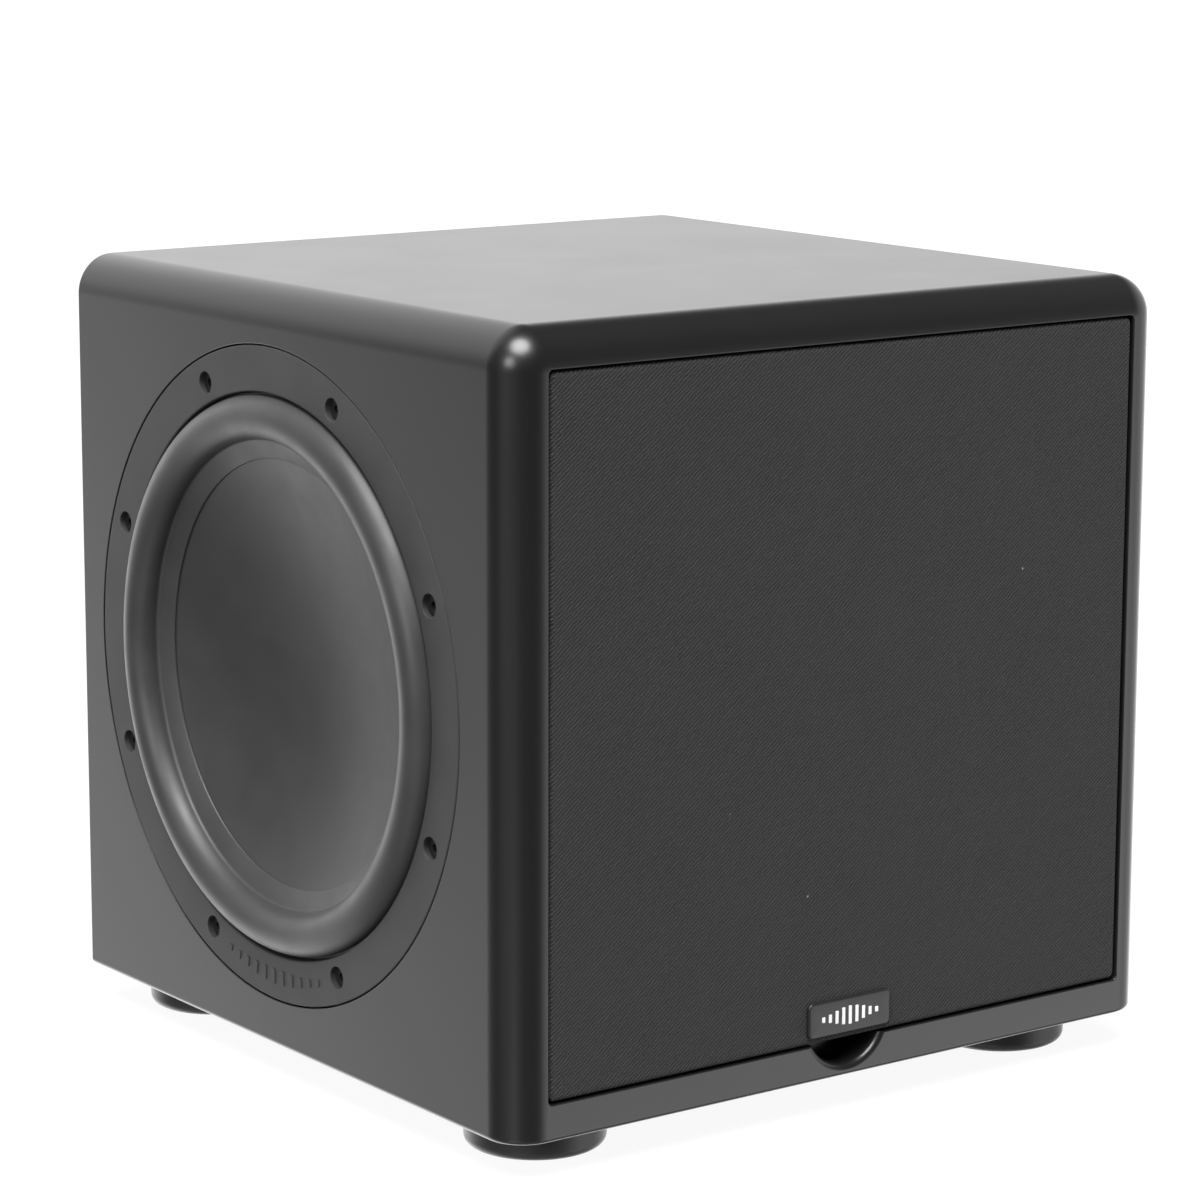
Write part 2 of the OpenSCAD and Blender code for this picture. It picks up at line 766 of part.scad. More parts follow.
// Toroidal mains transformer, wound round and lying flat on the board.
module transformer() {
    r_mid = 28;
    r_band = 14;
    h = 32;
    round_r = 7;
    z = board_z - board_t - h;
    color([0.8, 0.7, 0.35]) on_rear() translate([44, -22, z]) rotate_extrude() polygon(concat(
        arc([r_mid + r_band - round_r, round_r], round_r, -90, 0, 5),
        arc([r_mid + r_band - round_r, h - round_r], round_r, 0, 90, 5),
        arc([r_mid - r_band + round_r, h - round_r], round_r, 90, 180, 5),
        arc([r_mid - r_band + round_r, round_r], round_r, 180, 270, 5)
    ));
}

module capacitors() {
    z = board_z - board_t;
    color([0.12, 0.16, 0.32]) on_rear() {
        for (x = [-66, -40], y = [-50, -24]) translate([x, y, z - 32]) cylinder(r = 11, h = 32);
        for (i = [0:3]) translate([-62 + 18 * i, 52, z - 16])
            cylinder(r = 6, h = 16, $fn = 48);
    }
}

module heatsink() {
    w = sink_x[1] - sink_x[0];
    h = sink_y[1] - sink_y[0];
    base = 3;
    fin_t = 1.8;
    pitch = (w - fin_t) / (fin_count - 1);
    color([0.14, 0.14, 0.14]) on_rear() translate([sink_x[0], sink_y[0], 0]) {
        cube([w, h, base]);
        for (i = [0:fin_count - 1]) translate([i * pitch, 0, 0]) cube([fin_t, h, fin_h]);
    }
}

// A knob with a pointer groove in its side and face, and the shaft it turns.
module knob(x) {
    taper = 1;
    color([0.08, 0.08, 0.08]) on_rear() translate([x, knob_y, 0]) {
        difference() {
            translate([0, 0, knob_lift]) rotate_extrude() polygon([
                [0, 0], [knob_d / 2, 0], [knob_d / 2 - taper, knob_len - 0.8],
                [knob_d / 2 - taper - 0.8, knob_len], [0, knob_len]
            ]);
            translate([-0.6, knob_d / 4, knob_lift + knob_len - 0.8])
                cube([1.2, knob_d / 2, 2]);
        }
        translate([0, 0, -amp_t - 9]) cylinder(r = knob_shaft_r, h = amp_t + 9 + knob_lift, $fn = 48);
    }
}

// A switch's lever. x is where it rests, measured from the middle of its slot.
module slider(x, y) {
    color([0.75, 0.75, 0.75]) on_rear() translate([switch_x + x, y, -amp_t - 2]) {
        translate([-2, -1.9, 0]) cube([4, 3.8, amp_t + 4.5]);
        translate([-3, -2.4, 0]) cube([6, 4.8, 1.4]);
    }
}

// Cases behind the plate: two potentiometers, two switches and the jacks' block.
module control_bodies() {
    color([0.2, 0.2, 0.22]) on_rear() {
        for (x = [gain_x, crossover_x]) translate([x, knob_y, -amp_t]) difference() {
            translate([-8.5, -8.5, -11]) cube([17, 17, 11]);
            translate([0, 0, -9.5]) cylinder(r = knob_shaft_r + running_gap, h = 9.5 + over, $fn = 48);
        }
        for (y = [phase_y, mode_y]) translate([switch_x, y, -amp_t]) difference() {
            translate([-11, -4.5, -7]) cube([22, 9, 7]);
            translate([-8, -3, -2.5]) cube([16, 6, 2.5 + over]);
        }
        translate([jack_x[0] - 9, jack_y[1] - 9, -amp_t - 18])
            cube([jack_x[1] - jack_x[0] + 18, jack_y[0] - jack_y[1] + 18, 14]);
    }
}

module line_jacks() {
    bore_r = 1.7;
    color([0.8, 0.78, 0.7]) on_rear() jack_places() difference() {
        union() {
            translate([0, 0, -amp_t - 4]) cylinder(r = jack_r - running_gap, h = amp_t + 4, $fn = 64);
            cylinder(r = 6, h = 1.5, $fn = 6);
            cylinder(r = jack_r, h = 1.5 + jack_len, $fn = 64);
        }
        translate([0, 0, 2]) cylinder(r = bore_r, h = jack_len, $fn = 32);
    }
}

inlet_body = [28, 32];
inlet_hole = [24.4, 16.8];
inlet_depth = 16;
drawer = [22, 5.6, 17];
drawer_drop = 13.5;

// Mains inlet: a recessed socket with three blades above a small fuse drawer.
module power_inlet() {
    z_back = -inlet_depth - 3;
    color([0.06, 0.06, 0.06]) on_rear() translate([inlet_at[0], inlet_at[1], 0]) {
        difference() {
            union() {
                translate([0, -3, 0]) linear_extrude(2.2) polygon(rounded(34, 37, 2));
                translate([-inlet_body[0] / 2, -3 - inlet_body[1] / 2, z_back])
                    cube([inlet_body[0], inlet_body[1], -z_back]);
            }
            translate([0, 0, -inlet_depth]) linear_extrude(inlet_depth + 3)
                polygon(rounded(inlet_hole[0], inlet_hole[1], 2));
            translate([-drawer[0] / 2 - free_gap, -drawer_drop - drawer[1] / 2 - free_gap, -15.5])
                cube([drawer[0] + 2 * free_gap, drawer[1] + 2 * free_gap, 20]);
        }
        for (p = [[-7, -2], [0, 2], [7, -2]])
            translate([p[0] - 1, p[1] - 2, -inlet_depth]) cube([2, 4, inlet_depth - 2]);
    }
}

module fuse_drawer() {
    color([0.1, 0.1, 0.1]) on_rear() translate([inlet_at[0], inlet_at[1] - drawer_drop, 0]) {
        difference() {
            translate([-drawer[0] / 2, -drawer[1] / 2, -15]) cube([drawer[0], drawer[1], 17.2]);
            translate([-9, -2, -13]) cube([18, 6, 11]);
        }
        translate([-4, drawer[1] / 2 - 1.2, 2]) cube([8, 1.2, 1.6]);
    }
}

rocker_body = [15.4, 22];
rocker_hole = [11.4, 20];
rocker_tilt = 8;
rocker_pivot = 1.6;

module rocker_bezel() {
    color([0.06, 0.06, 0.06]) on_rear() translate([rocker_at[0], rocker_at[1], 0]) difference() {
        union() {
            linear_extrude(2) polygon(rounded(19, 25, 1.5));
            translate([-rocker_body[0] / 2, -rocker_body[1] / 2, -13])
                cube([rocker_body[0], rocker_body[1], 13]);
        }
        translate([-rocker_hole[0] / 2, -rocker_hole[1] / 2, -9]) cube([rocker_hole[0], rocker_hole[1], 12]);
        translate([-rocker_body[0] / 2 - over, 0, -1]) rotate([0, 90, 0])
            cylinder(r = rocker_pivot + running_gap, h = rocker_body[0] + 2 * over, $fn = 48);
    }
}

// The rocker rests with its lower half pressed in. Its ends are round about the pivot.
module power_rocker() {
    w = rocker_hole[0] - 2 * free_gap;
    end_r = rocker_hole[1] / 2 - free_gap;
    color([0.1, 0.1, 0.1]) on_rear() translate([rocker_at[0], rocker_at[1], -1])
        rotate([rocker_tilt, 0, 0]) rotate([0, 90, 0]) {
            translate([0, 0, -w / 2]) linear_extrude(w) polygon(concat(
                arc([0, 0], end_r, 68, 118, 8), [[-3.2, 0]], arc([0, 0], end_r, 242, 292, 8), [[5.5, 0]]
            ));
            translate([0, 0, free_gap - rocker_body[0] / 2])
                cylinder(r = rocker_pivot, h = rocker_body[0] - 2 * free_gap, $fn = 48);
        }
}

module amp_screws() {
    color([0.12, 0.12, 0.12]) on_rear() amp_screw_places() {
        difference() {
            rotate_extrude($fn = 32) polygon([[0, 0], [3.9, 0], [3.7, 1.2], [2.6, 2.1], [0, 2.4]]);
            for (a = [0, 90]) rotate([0, 0, a]) translate([-0.5, -2.2, 1.2]) cube([1, 4.4, 2]);
        }
        translate([0, 0, -14]) cylinder(r = 1.6, h = 14, $fn = 20);
    }
}

module status_led() {
    color([0.3, 0.5, 0.9]) on_rear() translate([led_at[0], led_at[1], -6]) {
        cylinder(r = 1.5, h = 6.4, $fn = 32);
        translate([0, 0, 6.4]) cylinder(r1 = 1.5, r2 = 0.8, h = 0.9, $fn = 32);
        translate([0, 0, 0]) cylinder(r = 2.4, h = 6 - amp_t, $fn = 32);
    }
}

// A pair of wires from the amplifier's board, through the brace's window, to the
// woofer's solder tags.
module woofer_wires() {
    f = front_y;
    m = mid_z;
    board_y = back_y + board_z - board_t - 0.2;
    route = [
        [17, f + 68, m + 103.5], [17, f + 75, m + 108], [15, f + 92, m + 109], [12, f + 118, m + 103],
        [9, f + 148, m + 92], [7, f + 178, m + 82], [6, f + 198, m + 75], [5, f + 216, m + 65],
        [4, f + 232, m + 51], [4, f + 248, m + 37], [4, f + 264, m + 31], [4, board_y, m + 31]
    ];
    color([0.6, 0.1, 0.1]) for (side = [-1, 1])
        tube([for (p = route) [side * p[0], p[1], p[2]]], 1.5, [1, 0, 0]);
}

cabinet_shell();
front_baffle();
back_panel();
cabinet_brace();
foot(true, true);  // foot_front_left
foot(false, true);  // foot_front_right
foot(true, false);  // foot_rear_left
foot(false, false);  // foot_rear_right
foot_screws();
grille_frame();
grille_cloth();
grille_badge();
badge_mark();
grille_pins();
grille_sockets();
woofer_frame();
woofer_surround();
woofer_cone();
dust_cap();
woofer_spider();
coil_former();
coil_winding();
top_plate();
magnet();
yoke();
woofer_terminals();
tinsel_leads();
driver_screws();
driver_gaskets();
radiator_frame(-1);  // left_radiator_frame
radiator_surround(-1);  // left_radiator_surround
radiator_cone(-1);  // left_radiator_cone
radiator_spider(-1);  // left_radiator_spider
radiator_weight(-1);  // left_radiator_weight
weight_bolt(-1);  // left_weight_bolt
radiator_frame(1);  // right_radiator_frame
radiator_surround(1);  // right_radiator_surround
radiator_cone(1);  // right_radiator_cone
radiator_spider(1);  // right_radiator_spider
radiator_weight(1);  // right_radiator_weight
weight_bolt(1);  // right_weight_bolt
amp_plate();
amp_gasket();
amp_board();
transformer();
capacitors();
heatsink();
knob(gain_x);  // gain_knob
knob(crossover_x);  // crossover_knob
slider(-2.5, phase_y);  // phase_slider
slider(0, mode_y);  // mode_slider
control_bodies();
line_jacks();
power_inlet();
fuse_drawer();
rocker_bezel();
power_rocker();
amp_screws();
status_led();
woofer_wires();
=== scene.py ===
"""Looks of the powered subwoofer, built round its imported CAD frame.

Shapes are made in millimetres in small local frames and placed in metres in the
frame of the CAD model: the front faces -Y, the left side -X and the floor is z = 0.
"""

import json
from math import asin, atan2, cos, degrees, hypot, pi, radians, sin, sqrt

import bmesh
import bpy
from mathutils import Matrix, Vector, noise


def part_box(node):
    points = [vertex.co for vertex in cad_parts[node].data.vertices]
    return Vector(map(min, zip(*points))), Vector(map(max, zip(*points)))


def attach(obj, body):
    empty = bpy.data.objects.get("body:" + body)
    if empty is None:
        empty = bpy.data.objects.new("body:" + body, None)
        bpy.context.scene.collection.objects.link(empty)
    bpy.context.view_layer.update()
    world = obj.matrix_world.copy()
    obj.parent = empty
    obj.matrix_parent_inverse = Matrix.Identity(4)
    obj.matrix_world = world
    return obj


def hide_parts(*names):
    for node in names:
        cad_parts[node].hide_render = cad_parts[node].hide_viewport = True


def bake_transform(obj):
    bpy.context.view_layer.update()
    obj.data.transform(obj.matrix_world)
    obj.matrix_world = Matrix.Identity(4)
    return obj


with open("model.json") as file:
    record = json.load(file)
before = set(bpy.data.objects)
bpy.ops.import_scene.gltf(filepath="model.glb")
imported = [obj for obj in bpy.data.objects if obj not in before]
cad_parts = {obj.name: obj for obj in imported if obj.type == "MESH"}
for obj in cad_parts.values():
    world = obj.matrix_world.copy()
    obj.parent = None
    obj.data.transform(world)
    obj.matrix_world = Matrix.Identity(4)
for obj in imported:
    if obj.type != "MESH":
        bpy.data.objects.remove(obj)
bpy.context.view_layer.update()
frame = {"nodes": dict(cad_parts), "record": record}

MM = 0.001
STUDS = 8
LEGS = 6


# ---- Places and sizes, in millimetres, from the frame ----

def box_mm(node):
    low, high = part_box(node)
    return low / MM, high / MM


def middle(node):
    low, high = box_mm(node)
    return (low + high) / 2


cab_low, cab_high = box_mm("cabinet_shell")
CAB_W = cab_high.x - cab_low.x
FRONT_Y, BACK_Y = cab_low.y, cab_high.y
BASE_Z, TOP_Z = cab_low.z, cab_high.z
MID_Z = (BASE_Z + TOP_Z) / 2
EDGE_R = 16.5
baffle_low, baffle_high = box_mm("front_baffle")
INNER_W = baffle_high.x - baffle_low.x
INNER_H = baffle_high.z - baffle_low.z
POCKET_DEPTH = baffle_low.y - FRONT_Y
cloth_low, cloth_high = box_mm("grille_cloth")
CLOTH_W = cloth_high.x - cloth_low.x
CLOTH_H = cloth_high.z - cloth_low.z
CLOTH_D = cloth_high.y - cloth_low.y
CLOTH_RECESS = cloth_low.y - FRONT_Y
CLOTH_MID_Z = (cloth_low.z + cloth_high.z) / 2
GRILLE_GAP = 0.9
radiator_axis = middle("left_radiator_weight")

# A driver's section, as radii and depths behind its flange's face
FLANGE_R = 133
FLANGE_T = 7
BORE_R = 114.4
BASKET_R = 116.6
LEG_TOP_Z = 21
SCREW_RING_R = 122.75
HEAD_RECESS_R = 4.6
HEAD_RECESS = 4.6
HEAD_R = 4.2
HEAD_H = 2.4
SCREW_LEN = 15
LIP_R = 114.2
LIP_T = 1.2
ROLL_Z = 3.2
ROLL_C = 104.3
ROLL_R = 9
RUBBER_T = 1.1
RUBBER_EDGE_R = 87.1
RUBBER_EDGE_Z = 7.1
RIM_R = 94
DISH_R = 200
DISH_DEPTH = 28.2
CONE_T = 1.6
HUB_R = 30
HUB_END = 57
FORMER_R = 25.7
CONE_NECK_Z = 52


def place(origin, x, z):
    """Matrix from a local frame in millimetres to the CAD frame in metres."""
    x, z = Vector(x), Vector(z)
    turned = Matrix((x, z.cross(x), z)).transposed().to_4x4()
    turned.translation = Vector(origin) * MM
    return turned @ Matrix.Scale(MM, 4)


IN_BOX = place((0, 0, 0), (1, 0, 0), (0, 0, 1))
ON_FRONT = place((0, FRONT_Y, CLOTH_MID_Z), (1, 0, 0), (0, -1, 0))
ON_REAR = place((0, BACK_Y, MID_Z), (-1, 0, 0), (0, 1, 0))
IN_WOOFER = place((0, FRONT_Y + POCKET_DEPTH, MID_Z), (1, 0, 0), (0, 1, 0))
IN_LEFT = place((-CAB_W / 2, radiator_axis.y, radiator_axis.z), (0, 0, -1), (1, 0, 0))
IN_RIGHT = place((CAB_W / 2, radiator_axis.y, radiator_axis.z), (0, 0, -1), (-1, 0, 0))


# ---- Node trees ----

class Nodes:
    """Short ways to add nodes to a tree and to link them."""

    def __init__(self, tree):
        self.tree = tree

    def node(self, kind, **settings):
        made = self.tree.nodes.new("ShaderNode" + kind)
        for key, value in settings.items():
            setattr(made, key, value)
        return made

    def link(self, source, target):
        self.tree.links.new(source, target)

    def math(self, operation, a, b=None, c=None):
        made = self.node("Math", operation=operation)
        for socket, value in zip(made.inputs, (a, b, c)):
            if isinstance(value, (int, float)):
                socket.default_value = value
            elif value is not None:
                self.link(value, socket)
        return made.outputs[0]

    def dot(self, value, direction):
        made = self.node("VectorMath", operation="DOT_PRODUCT")
        self.link(value, made.inputs[0])
        made.inputs[1].default_value = direction
        return made.outputs["Value"]


# ---- Camera, floor and light ----

AMBIENT = 0.055


def make_camera():
    """A long lens, to the front left of the object and a little above it."""
    yaw, pitch, roll = radians(36.42), radians(-10.86), radians(0.17)
    ahead = Vector((sin(yaw) * cos(pitch), cos(yaw) * cos(pitch), sin(pitch)))
    level = ahead.cross(Vector((0, 0, 1))).normalized()
    upright = level.cross(ahead)
    right = level * cos(roll) + upright * sin(roll)
    up = upright * cos(roll) - level * sin(roll)
    camera = bpy.data.objects.new("camera", bpy.data.cameras.new("camera"))
    bpy.context.collection.objects.link(camera)
    camera.matrix_world = Matrix((right, up, -ahead)).transposed().to_4x4()
    camera.location = (-1.0041, FRONT_Y * MM - 1.1949, BASE_Z * MM + 0.4909)
    camera.data.sensor_width = 36
    camera.data.lens = 122.5
    camera.data.clip_end = 100
    bpy.context.scene.camera = camera


def make_world():
    """A studio as the surfaces see it: bright behind and to the sides, dim in front."""
    world = bpy.data.worlds.new("studio")
    bpy.context.scene.world = world
    world.use_nodes = True
    studio = Nodes(world.node_tree)
    studio.tree.nodes.clear()
    direction = studio.node("TexCoord").outputs["Generated"]
    # direction of each soft light, its inner and outer half angle, and its brightness
    softboxes = [
        ((0.45, 1.0, -0.40), 33, 56, 1.75),
        ((-0.15, 0.75, -0.50), 10, 42, 1.3),
        ((-0.17, 0.84, 0.48), 12, 40, 1.25),
        ((0.62, -0.70, -0.38), 5, 27, 2.4),
        ((-0.29, -0.27, 0.87), 15, 24, 18.0),
        ((-0.88, -0.30, 0.36), 6, 14, 11.0),
        ((-0.98, -0.10, -0.10), 5, 18, 0.4),
        ((-0.75, -0.45, -0.58), 8, 19, 1.6),
        ((1.0, 0.05, 0.0), 20, 45, 1.05),
        ((0.0, 0.0, -1.0), 30, 80, 0.4),
    ]
    total = 0.0
    for towards, inner, outer, brightness in softboxes:
        ramp = studio.node("MapRange", interpolation_type="SMOOTHSTEP")
        studio.link(studio.dot(direction, Vector(towards).normalized()), ramp.inputs["Value"])
        ramp.inputs["From Min"].default_value = cos(radians(outer))
        ramp.inputs["From Max"].default_value = cos(radians(inner))
        ramp.inputs["To Max"].default_value = brightness
        total = studio.math("ADD", total, ramp.outputs["Result"])
    light, backdrop = studio.node("Background"), studio.node("Background")
    studio.link(studio.math("ADD", total, AMBIENT), light.inputs["Color"])
    backdrop.inputs["Color"].default_value = (1, 1, 1, 1)
    mix = studio.node("MixShader")
    studio.link(studio.node("LightPath").outputs["Is Camera Ray"], mix.inputs["Fac"])
    studio.link(light.outputs["Background"], mix.inputs[1])
    studio.link(backdrop.outputs["Background"], mix.inputs[2])
    studio.link(mix.outputs["Shader"], studio.node("OutputWorld").inputs["Surface"])


def make_floor():
    """A plain pale floor that takes a soft shadow and lets the studio's light through."""
    bpy.ops.mesh.primitive_circle_add(vertices=96, radius=30, fill_type="NGON")
    floor = bpy.context.object
    floor.name = "floor"
    material = bpy.data.materials.new("floor")
    material.use_nodes = True
    look = Nodes(material.node_tree)
    look.tree.nodes.clear()
    paint = look.node("BsdfDiffuse")
    paint.inputs["Color"].default_value = (0.09, 0.09, 0.09, 1)
    glow = look.node("Emission")
    glow.inputs["Strength"].default_value = 0.93
    both = look.node("AddShader")
    look.link(paint.outputs["BSDF"], both.inputs[0])
    look.link(glow.outputs["Emission"], both.inputs[1])
    look.link(both.outputs["Shader"], look.node("OutputMaterial").inputs["Surface"])
    floor.data.materials.append(material)
    floor.visible_glossy = False
    floor.visible_diffuse = False
    floor.visible_shadow = False
    floor.visible_transmission = False


make_camera()
make_world()
make_floor()
bpy.context.scene.view_settings.view_transform = "Standard"


# ---- Materials ----

MATERIALS = {}


class Finish(Nodes):
    """A Principled material whose layers are worked out from the object's own position."""

    def __init__(self, name, colour, rough, metal=0.0, **constants):
        MATERIALS[name] = bpy.data.materials.new(name)
        MATERIALS[name].use_nodes = True
        super().__init__(MATERIALS[name].node_tree)
        self.shader = self.tree.nodes["Principled BSDF"]
        self.shader.inputs["Base Color"].default_value = (*colour, 1)
        self.shader.inputs["Roughness"].default_value = rough
        self.shader.inputs["Metallic"].default_value = metal
        for socket, value in constants.items():
            self.shader.inputs[socket.replace("_", " ")].default_value = value
        self.place = self.node("TexCoord").outputs["Object"]
        self.colour = colour
        self.rough = rough
        self.normal = None

    def noise(self, size, detail=2.0, stretch=(1, 1, 1)):
        """Noise from 0 to 1 whose blobs are about size millimetres across."""
        scaled = self.node("Mapping")
        scaled.inputs["Scale"].default_value = [1 / (size * MM * s) for s in stretch]
        self.link(self.place, scaled.inputs["Vector"])
        made = self.node("TexNoise")
        made.inputs["Scale"].default_value = 1.0
        made.inputs["Detail"].default_value = detail
        self.link(scaled.outputs["Vector"], made.inputs["Vector"])
        return made.outputs["Fac"]

    def wave(self, pitch, direction):
        """A sine from -1 to 1 with that pitch in millimetres along a direction."""
        return self.math("SINE", self.dot(self.place, Vector(direction) * (2 * pi / (pitch * MM))))

    def specks(self, size, share):
        """1 in a few small scattered dots and 0 elsewhere."""
        cells = self.node("TexVoronoi")
        cells.inputs["Scale"].default_value = 1 / (size * MM)
        self.link(self.place, cells.inputs["Vector"])
        near = self.math("LESS_THAN", cells.outputs["Distance"], 0.22)
        pick = self.node("SeparateColor")
        self.link(cells.outputs["Color"], pick.inputs["Color"])
        few = self.math("LESS_THAN", pick.outputs["Red"], share)
        return self.math("MULTIPLY", near, few)

    def scale(self, value, low, high):
        made = self.node("MapRange")
        self.link(value, made.inputs["Value"])
        made.inputs["To Min"].default_value = low
        made.inputs["To Max"].default_value = high
        return made.outputs["Result"]

    def bump(self, height, depth):
        """Raises the surface by up to depth millimetres where height is 1."""
        made = self.node("Bump")
        made.inputs["Strength"].default_value = 1.0
        made.inputs["Distance"].default_value = depth * MM
        self.link(height, made.inputs["Height"])
        if self.normal is not None:
            self.link(self.normal, made.inputs["Normal"])
        self.normal = made.outputs["Normal"]
        self.link(self.normal, self.shader.inputs["Normal"])

    def grain(self, size, depth, detail=2.0, stretch=(1, 1, 1)):
        self.bump(self.noise(size, detail, stretch), depth)

    def tint(self, factor, colour):
        """Mixes another colour in by factor."""
        mix = self.node("Mix", data_type="RGBA")
        self.link(factor, mix.inputs["Factor"])
        base = self.shader.inputs["Base Color"]
        if base.is_linked:
            self.link(base.links[0].from_socket, mix.inputs["A"])
        else:
            mix.inputs["A"].default_value = base.default_value
        mix.inputs["B"].default_value = (*colour, 1)
        self.link(mix.outputs["Result"], base)

    def mottle(self, size, amount, detail=3.0):
        """Lightens the colour in soft patches."""
        lighter = [min(1.0, c * (1 + amount)) for c in self.colour]
        self.tint(self.scale(self.noise(size, detail), -0.6, 1.6), lighter)

    def uneven(self, size, amount, detail=3.0):
        """Varies the roughness by amount either way in soft patches."""
        low, high = self.rough - 2 * amount, self.rough + 2 * amount
        self.link(self.scale(self.noise(size, detail), low, high), self.shader.inputs["Roughness"])


def lacquer(name, colour, rough, peel):
    made = Finish(name, colour, rough, Specular_IOR_Level=0.55)
    made.mottle(70, 0.12)
    made.uneven(38, 0.008)
    made.grain(0.8, 0.022 * peel, 3)
    made.grain(3.6, 0.003 * peel)


def moulded(name, colour, rough, depth=0.006, **constants):
    made = Finish(name, colour, rough, **constants)
    made.mottle(18, 0.25)
    made.uneven(9, 0.03)
    made.grain(0.35, depth, 3)


def rubber(name, colour, rough):
    made = Finish(name, colour, rough, Specular_IOR_Level=0.45, Sheen_Weight=0.04)
    made.mottle(22, 0.35)
    made.uneven(14, 0.05)
    made.grain(0.5, 0.004, 3)


def board(name, colour, rough):
    made = Finish(name, colour, rough)
    made.mottle(2.2, 0.5, 4)
    made.grain(0.9, 0.03, 4)


def metal(name, colour, rough, direction=(1, 1, 1), **constants):
    made = Finish(name, colour, rough, 1.0, **constants)
    made.uneven(6, 0.05)
    made.mottle(12, 0.12)
    made.grain(0.5, 0.003, 3, direction)


def twill(name):
    """Charcoal speaker cloth: ribs that climb to the right, yarns across them, and lint."""
    made = Finish(name, (0.01, 0.01, 0.0103), 0.85, Specular_IOR_Level=0.25, Sheen_Weight=0.06)
    made.shader.inputs["Sheen Roughness"].default_value = 0.6
    lean = radians(38)
    across = (-sin(lean), cos(lean) - sin(lean), cos(lean))
    along = (cos(lean), sin(lean) + cos(lean), sin(lean))
    wander = made.math("MULTIPLY", made.noise(3.0, 4), 7.0)
    rib_at = made.dot(made.place, Vector(across) * (2 * pi / (1.3 * MM)))
    rib = made.math("SINE", made.math("ADD", rib_at, wander))
    yarn = made.wave(0.62, along)
    body = made.math("MULTIPLY_ADD", rib, 0.5, 0.5)
    cross = made.math("MULTIPLY", made.math("MULTIPLY_ADD", yarn, 0.5, 0.5), body)
    fuzz = made.noise(0.75, 3)
    height = made.math("MULTIPLY_ADD", cross, 0.35, made.math("MULTIPLY", body, 0.25))
    height = made.math("MULTIPLY_ADD", fuzz, 0.75, height)
    # lighter where the cloth stands higher and darker in the valleys between ribs and yarns: painted shade
    # in the valleys, while the fuzz's share is the fibres' own random tone
    made.tint(made.scale(height, -1.1, 1.25), (0.056, 0.056, 0.0572))
    made.tint(made.scale(made.noise(34, 3), -0.12, 0.25), (0.035, 0.035, 0.036))
    made.tint(made.specks(2.6, 0.0012), (0.35, 0.35, 0.35))
    made.bump(height, 0.36)


def corrugated_cloth(name, colour):
    made = Finish(name, colour, 0.8, Sheen_Weight=0.1)
    weave = made.math("MULTIPLY", made.wave(0.8, (1, 0.4, 0)), made.wave(0.8, (0, 0.4, 1)))
    made.tint(made.scale(weave, 0, 0.35), [c * 0.45 for c in colour])
    made.mottle(14, 0.25)
    made.bump(weave, 0.05)


def wound(name, colour, pitch, direction, rough=0.45, metal_share=0.0):
    """Turns of wire or tape side by side."""
    made = Finish(name, colour, rough, metal_share)
    turns = made.wave(pitch, direction)
    # darker in the low half of each turn, in the grooves between turns: painted shade
    made.tint(made.scale(turns, 0.3, -0.3), [c * 0.5 for c in colour])
    made.mottle(9, 0.2)
    made.bump(turns, 0.08)


def lens(name, colour):
    made = Finish(name, colour, 0.12, Transmission_Weight=0.6)
    made.grain(2, 0.004)


def powder_coat(name, colour):
    made = Finish(name, colour, 0.52, Specular_IOR_Level=0.5)
    made.mottle(30, 0.2)
    made.uneven(12, 0.03)
    made.grain(1.1, 0.035, 3)
    made.grain(0.4, 0.012, 2)


lacquer("cabinet_lacquer", (0.008, 0.008, 0.0082), 0.31, 1.0)
lacquer("back_lacquer", (0.02, 0.02, 0.0205), 0.46, 1.6)
board("black_board", (0.017, 0.016, 0.016), 0.75)
board("raw_board", (0.36, 0.25, 0.15), 0.85)
rubber("foot_rubber", (0.024, 0.024, 0.024), 0.45)
rubber("soft_rubber", (0.014, 0.014, 0.014), 0.65)
rubber("surround_rubber", (0.027, 0.027, 0.027), 0.46)
rubber("gasket_foam", (0.035, 0.035, 0.035), 0.95)
moulded("frame_coating", (0.036, 0.036, 0.0365), 0.55, 0.012, Specular_IOR_Level=0.2)
moulded("cone_black", (0.028, 0.028, 0.0285), 0.44, 0.01, Specular_IOR_Level=0.45)
moulded("badge_plastic", (0.01, 0.01, 0.0102), 0.38, 0.002)
moulded("badge_white", (0.72, 0.72, 0.72), 0.35, 0.002)
moulded("black_plastic", (0.016, 0.016, 0.0165), 0.42)
moulded("rocker_plastic", (0.014, 0.014, 0.014), 0.22, 0.002, Coat_Weight=0.4)
moulded("knob_plastic", (0.018, 0.018, 0.018), 0.38, 0.005)
moulded("lever_white", (0.62, 0.62, 0.6), 0.4, 0.004)
moulded("capacitor_sleeve", (0.03, 0.05, 0.16), 0.28, 0.003)
moulded("circuit_board", (0.02, 0.13, 0.05), 0.35, 0.01, Coat_Weight=0.3)
moulded("terminal_board", (0.2, 0.11, 0.04), 0.5, 0.01)
moulded("wire_sleeve", (0.35, 0.015, 0.012), 0.4, 0.003)
metal("zinc_steel", (0.62, 0.62, 0.64), 0.34)
moulded("black_steel", (0.01, 0.01, 0.01), 0.5, 0.004, Specular_IOR_Level=0.3)
metal("plated_steel", (0.4, 0.4, 0.42), 0.36)
metal("gold_brass", (0.86, 0.62, 0.25), 0.2)
metal("black_anodised", (0.035, 0.035, 0.037), 0.48, (1, 1, 30))
board("ferrite", (0.05, 0.05, 0.053), 0.6)
powder_coat("amp_paint", (0.019, 0.019, 0.0195))
corrugated_cloth("spider_cloth", (0.62, 0.43, 0.15))
twill("grille_fabric")
moulded("former_film", (0.5, 0.27, 0.07), 0.3, 0.002)
wound("copper", (0.78, 0.34, 0.17), 0.5, (0, 1, 0), 0.3, 1.0)
wound("winding_tape", (0.65, 0.5, 0.14), 6, (1, 0.5, 1))
wound("tinsel", (0.6, 0.57, 0.5), 0.6, (1, 1, 1), 0.4, 0.6)
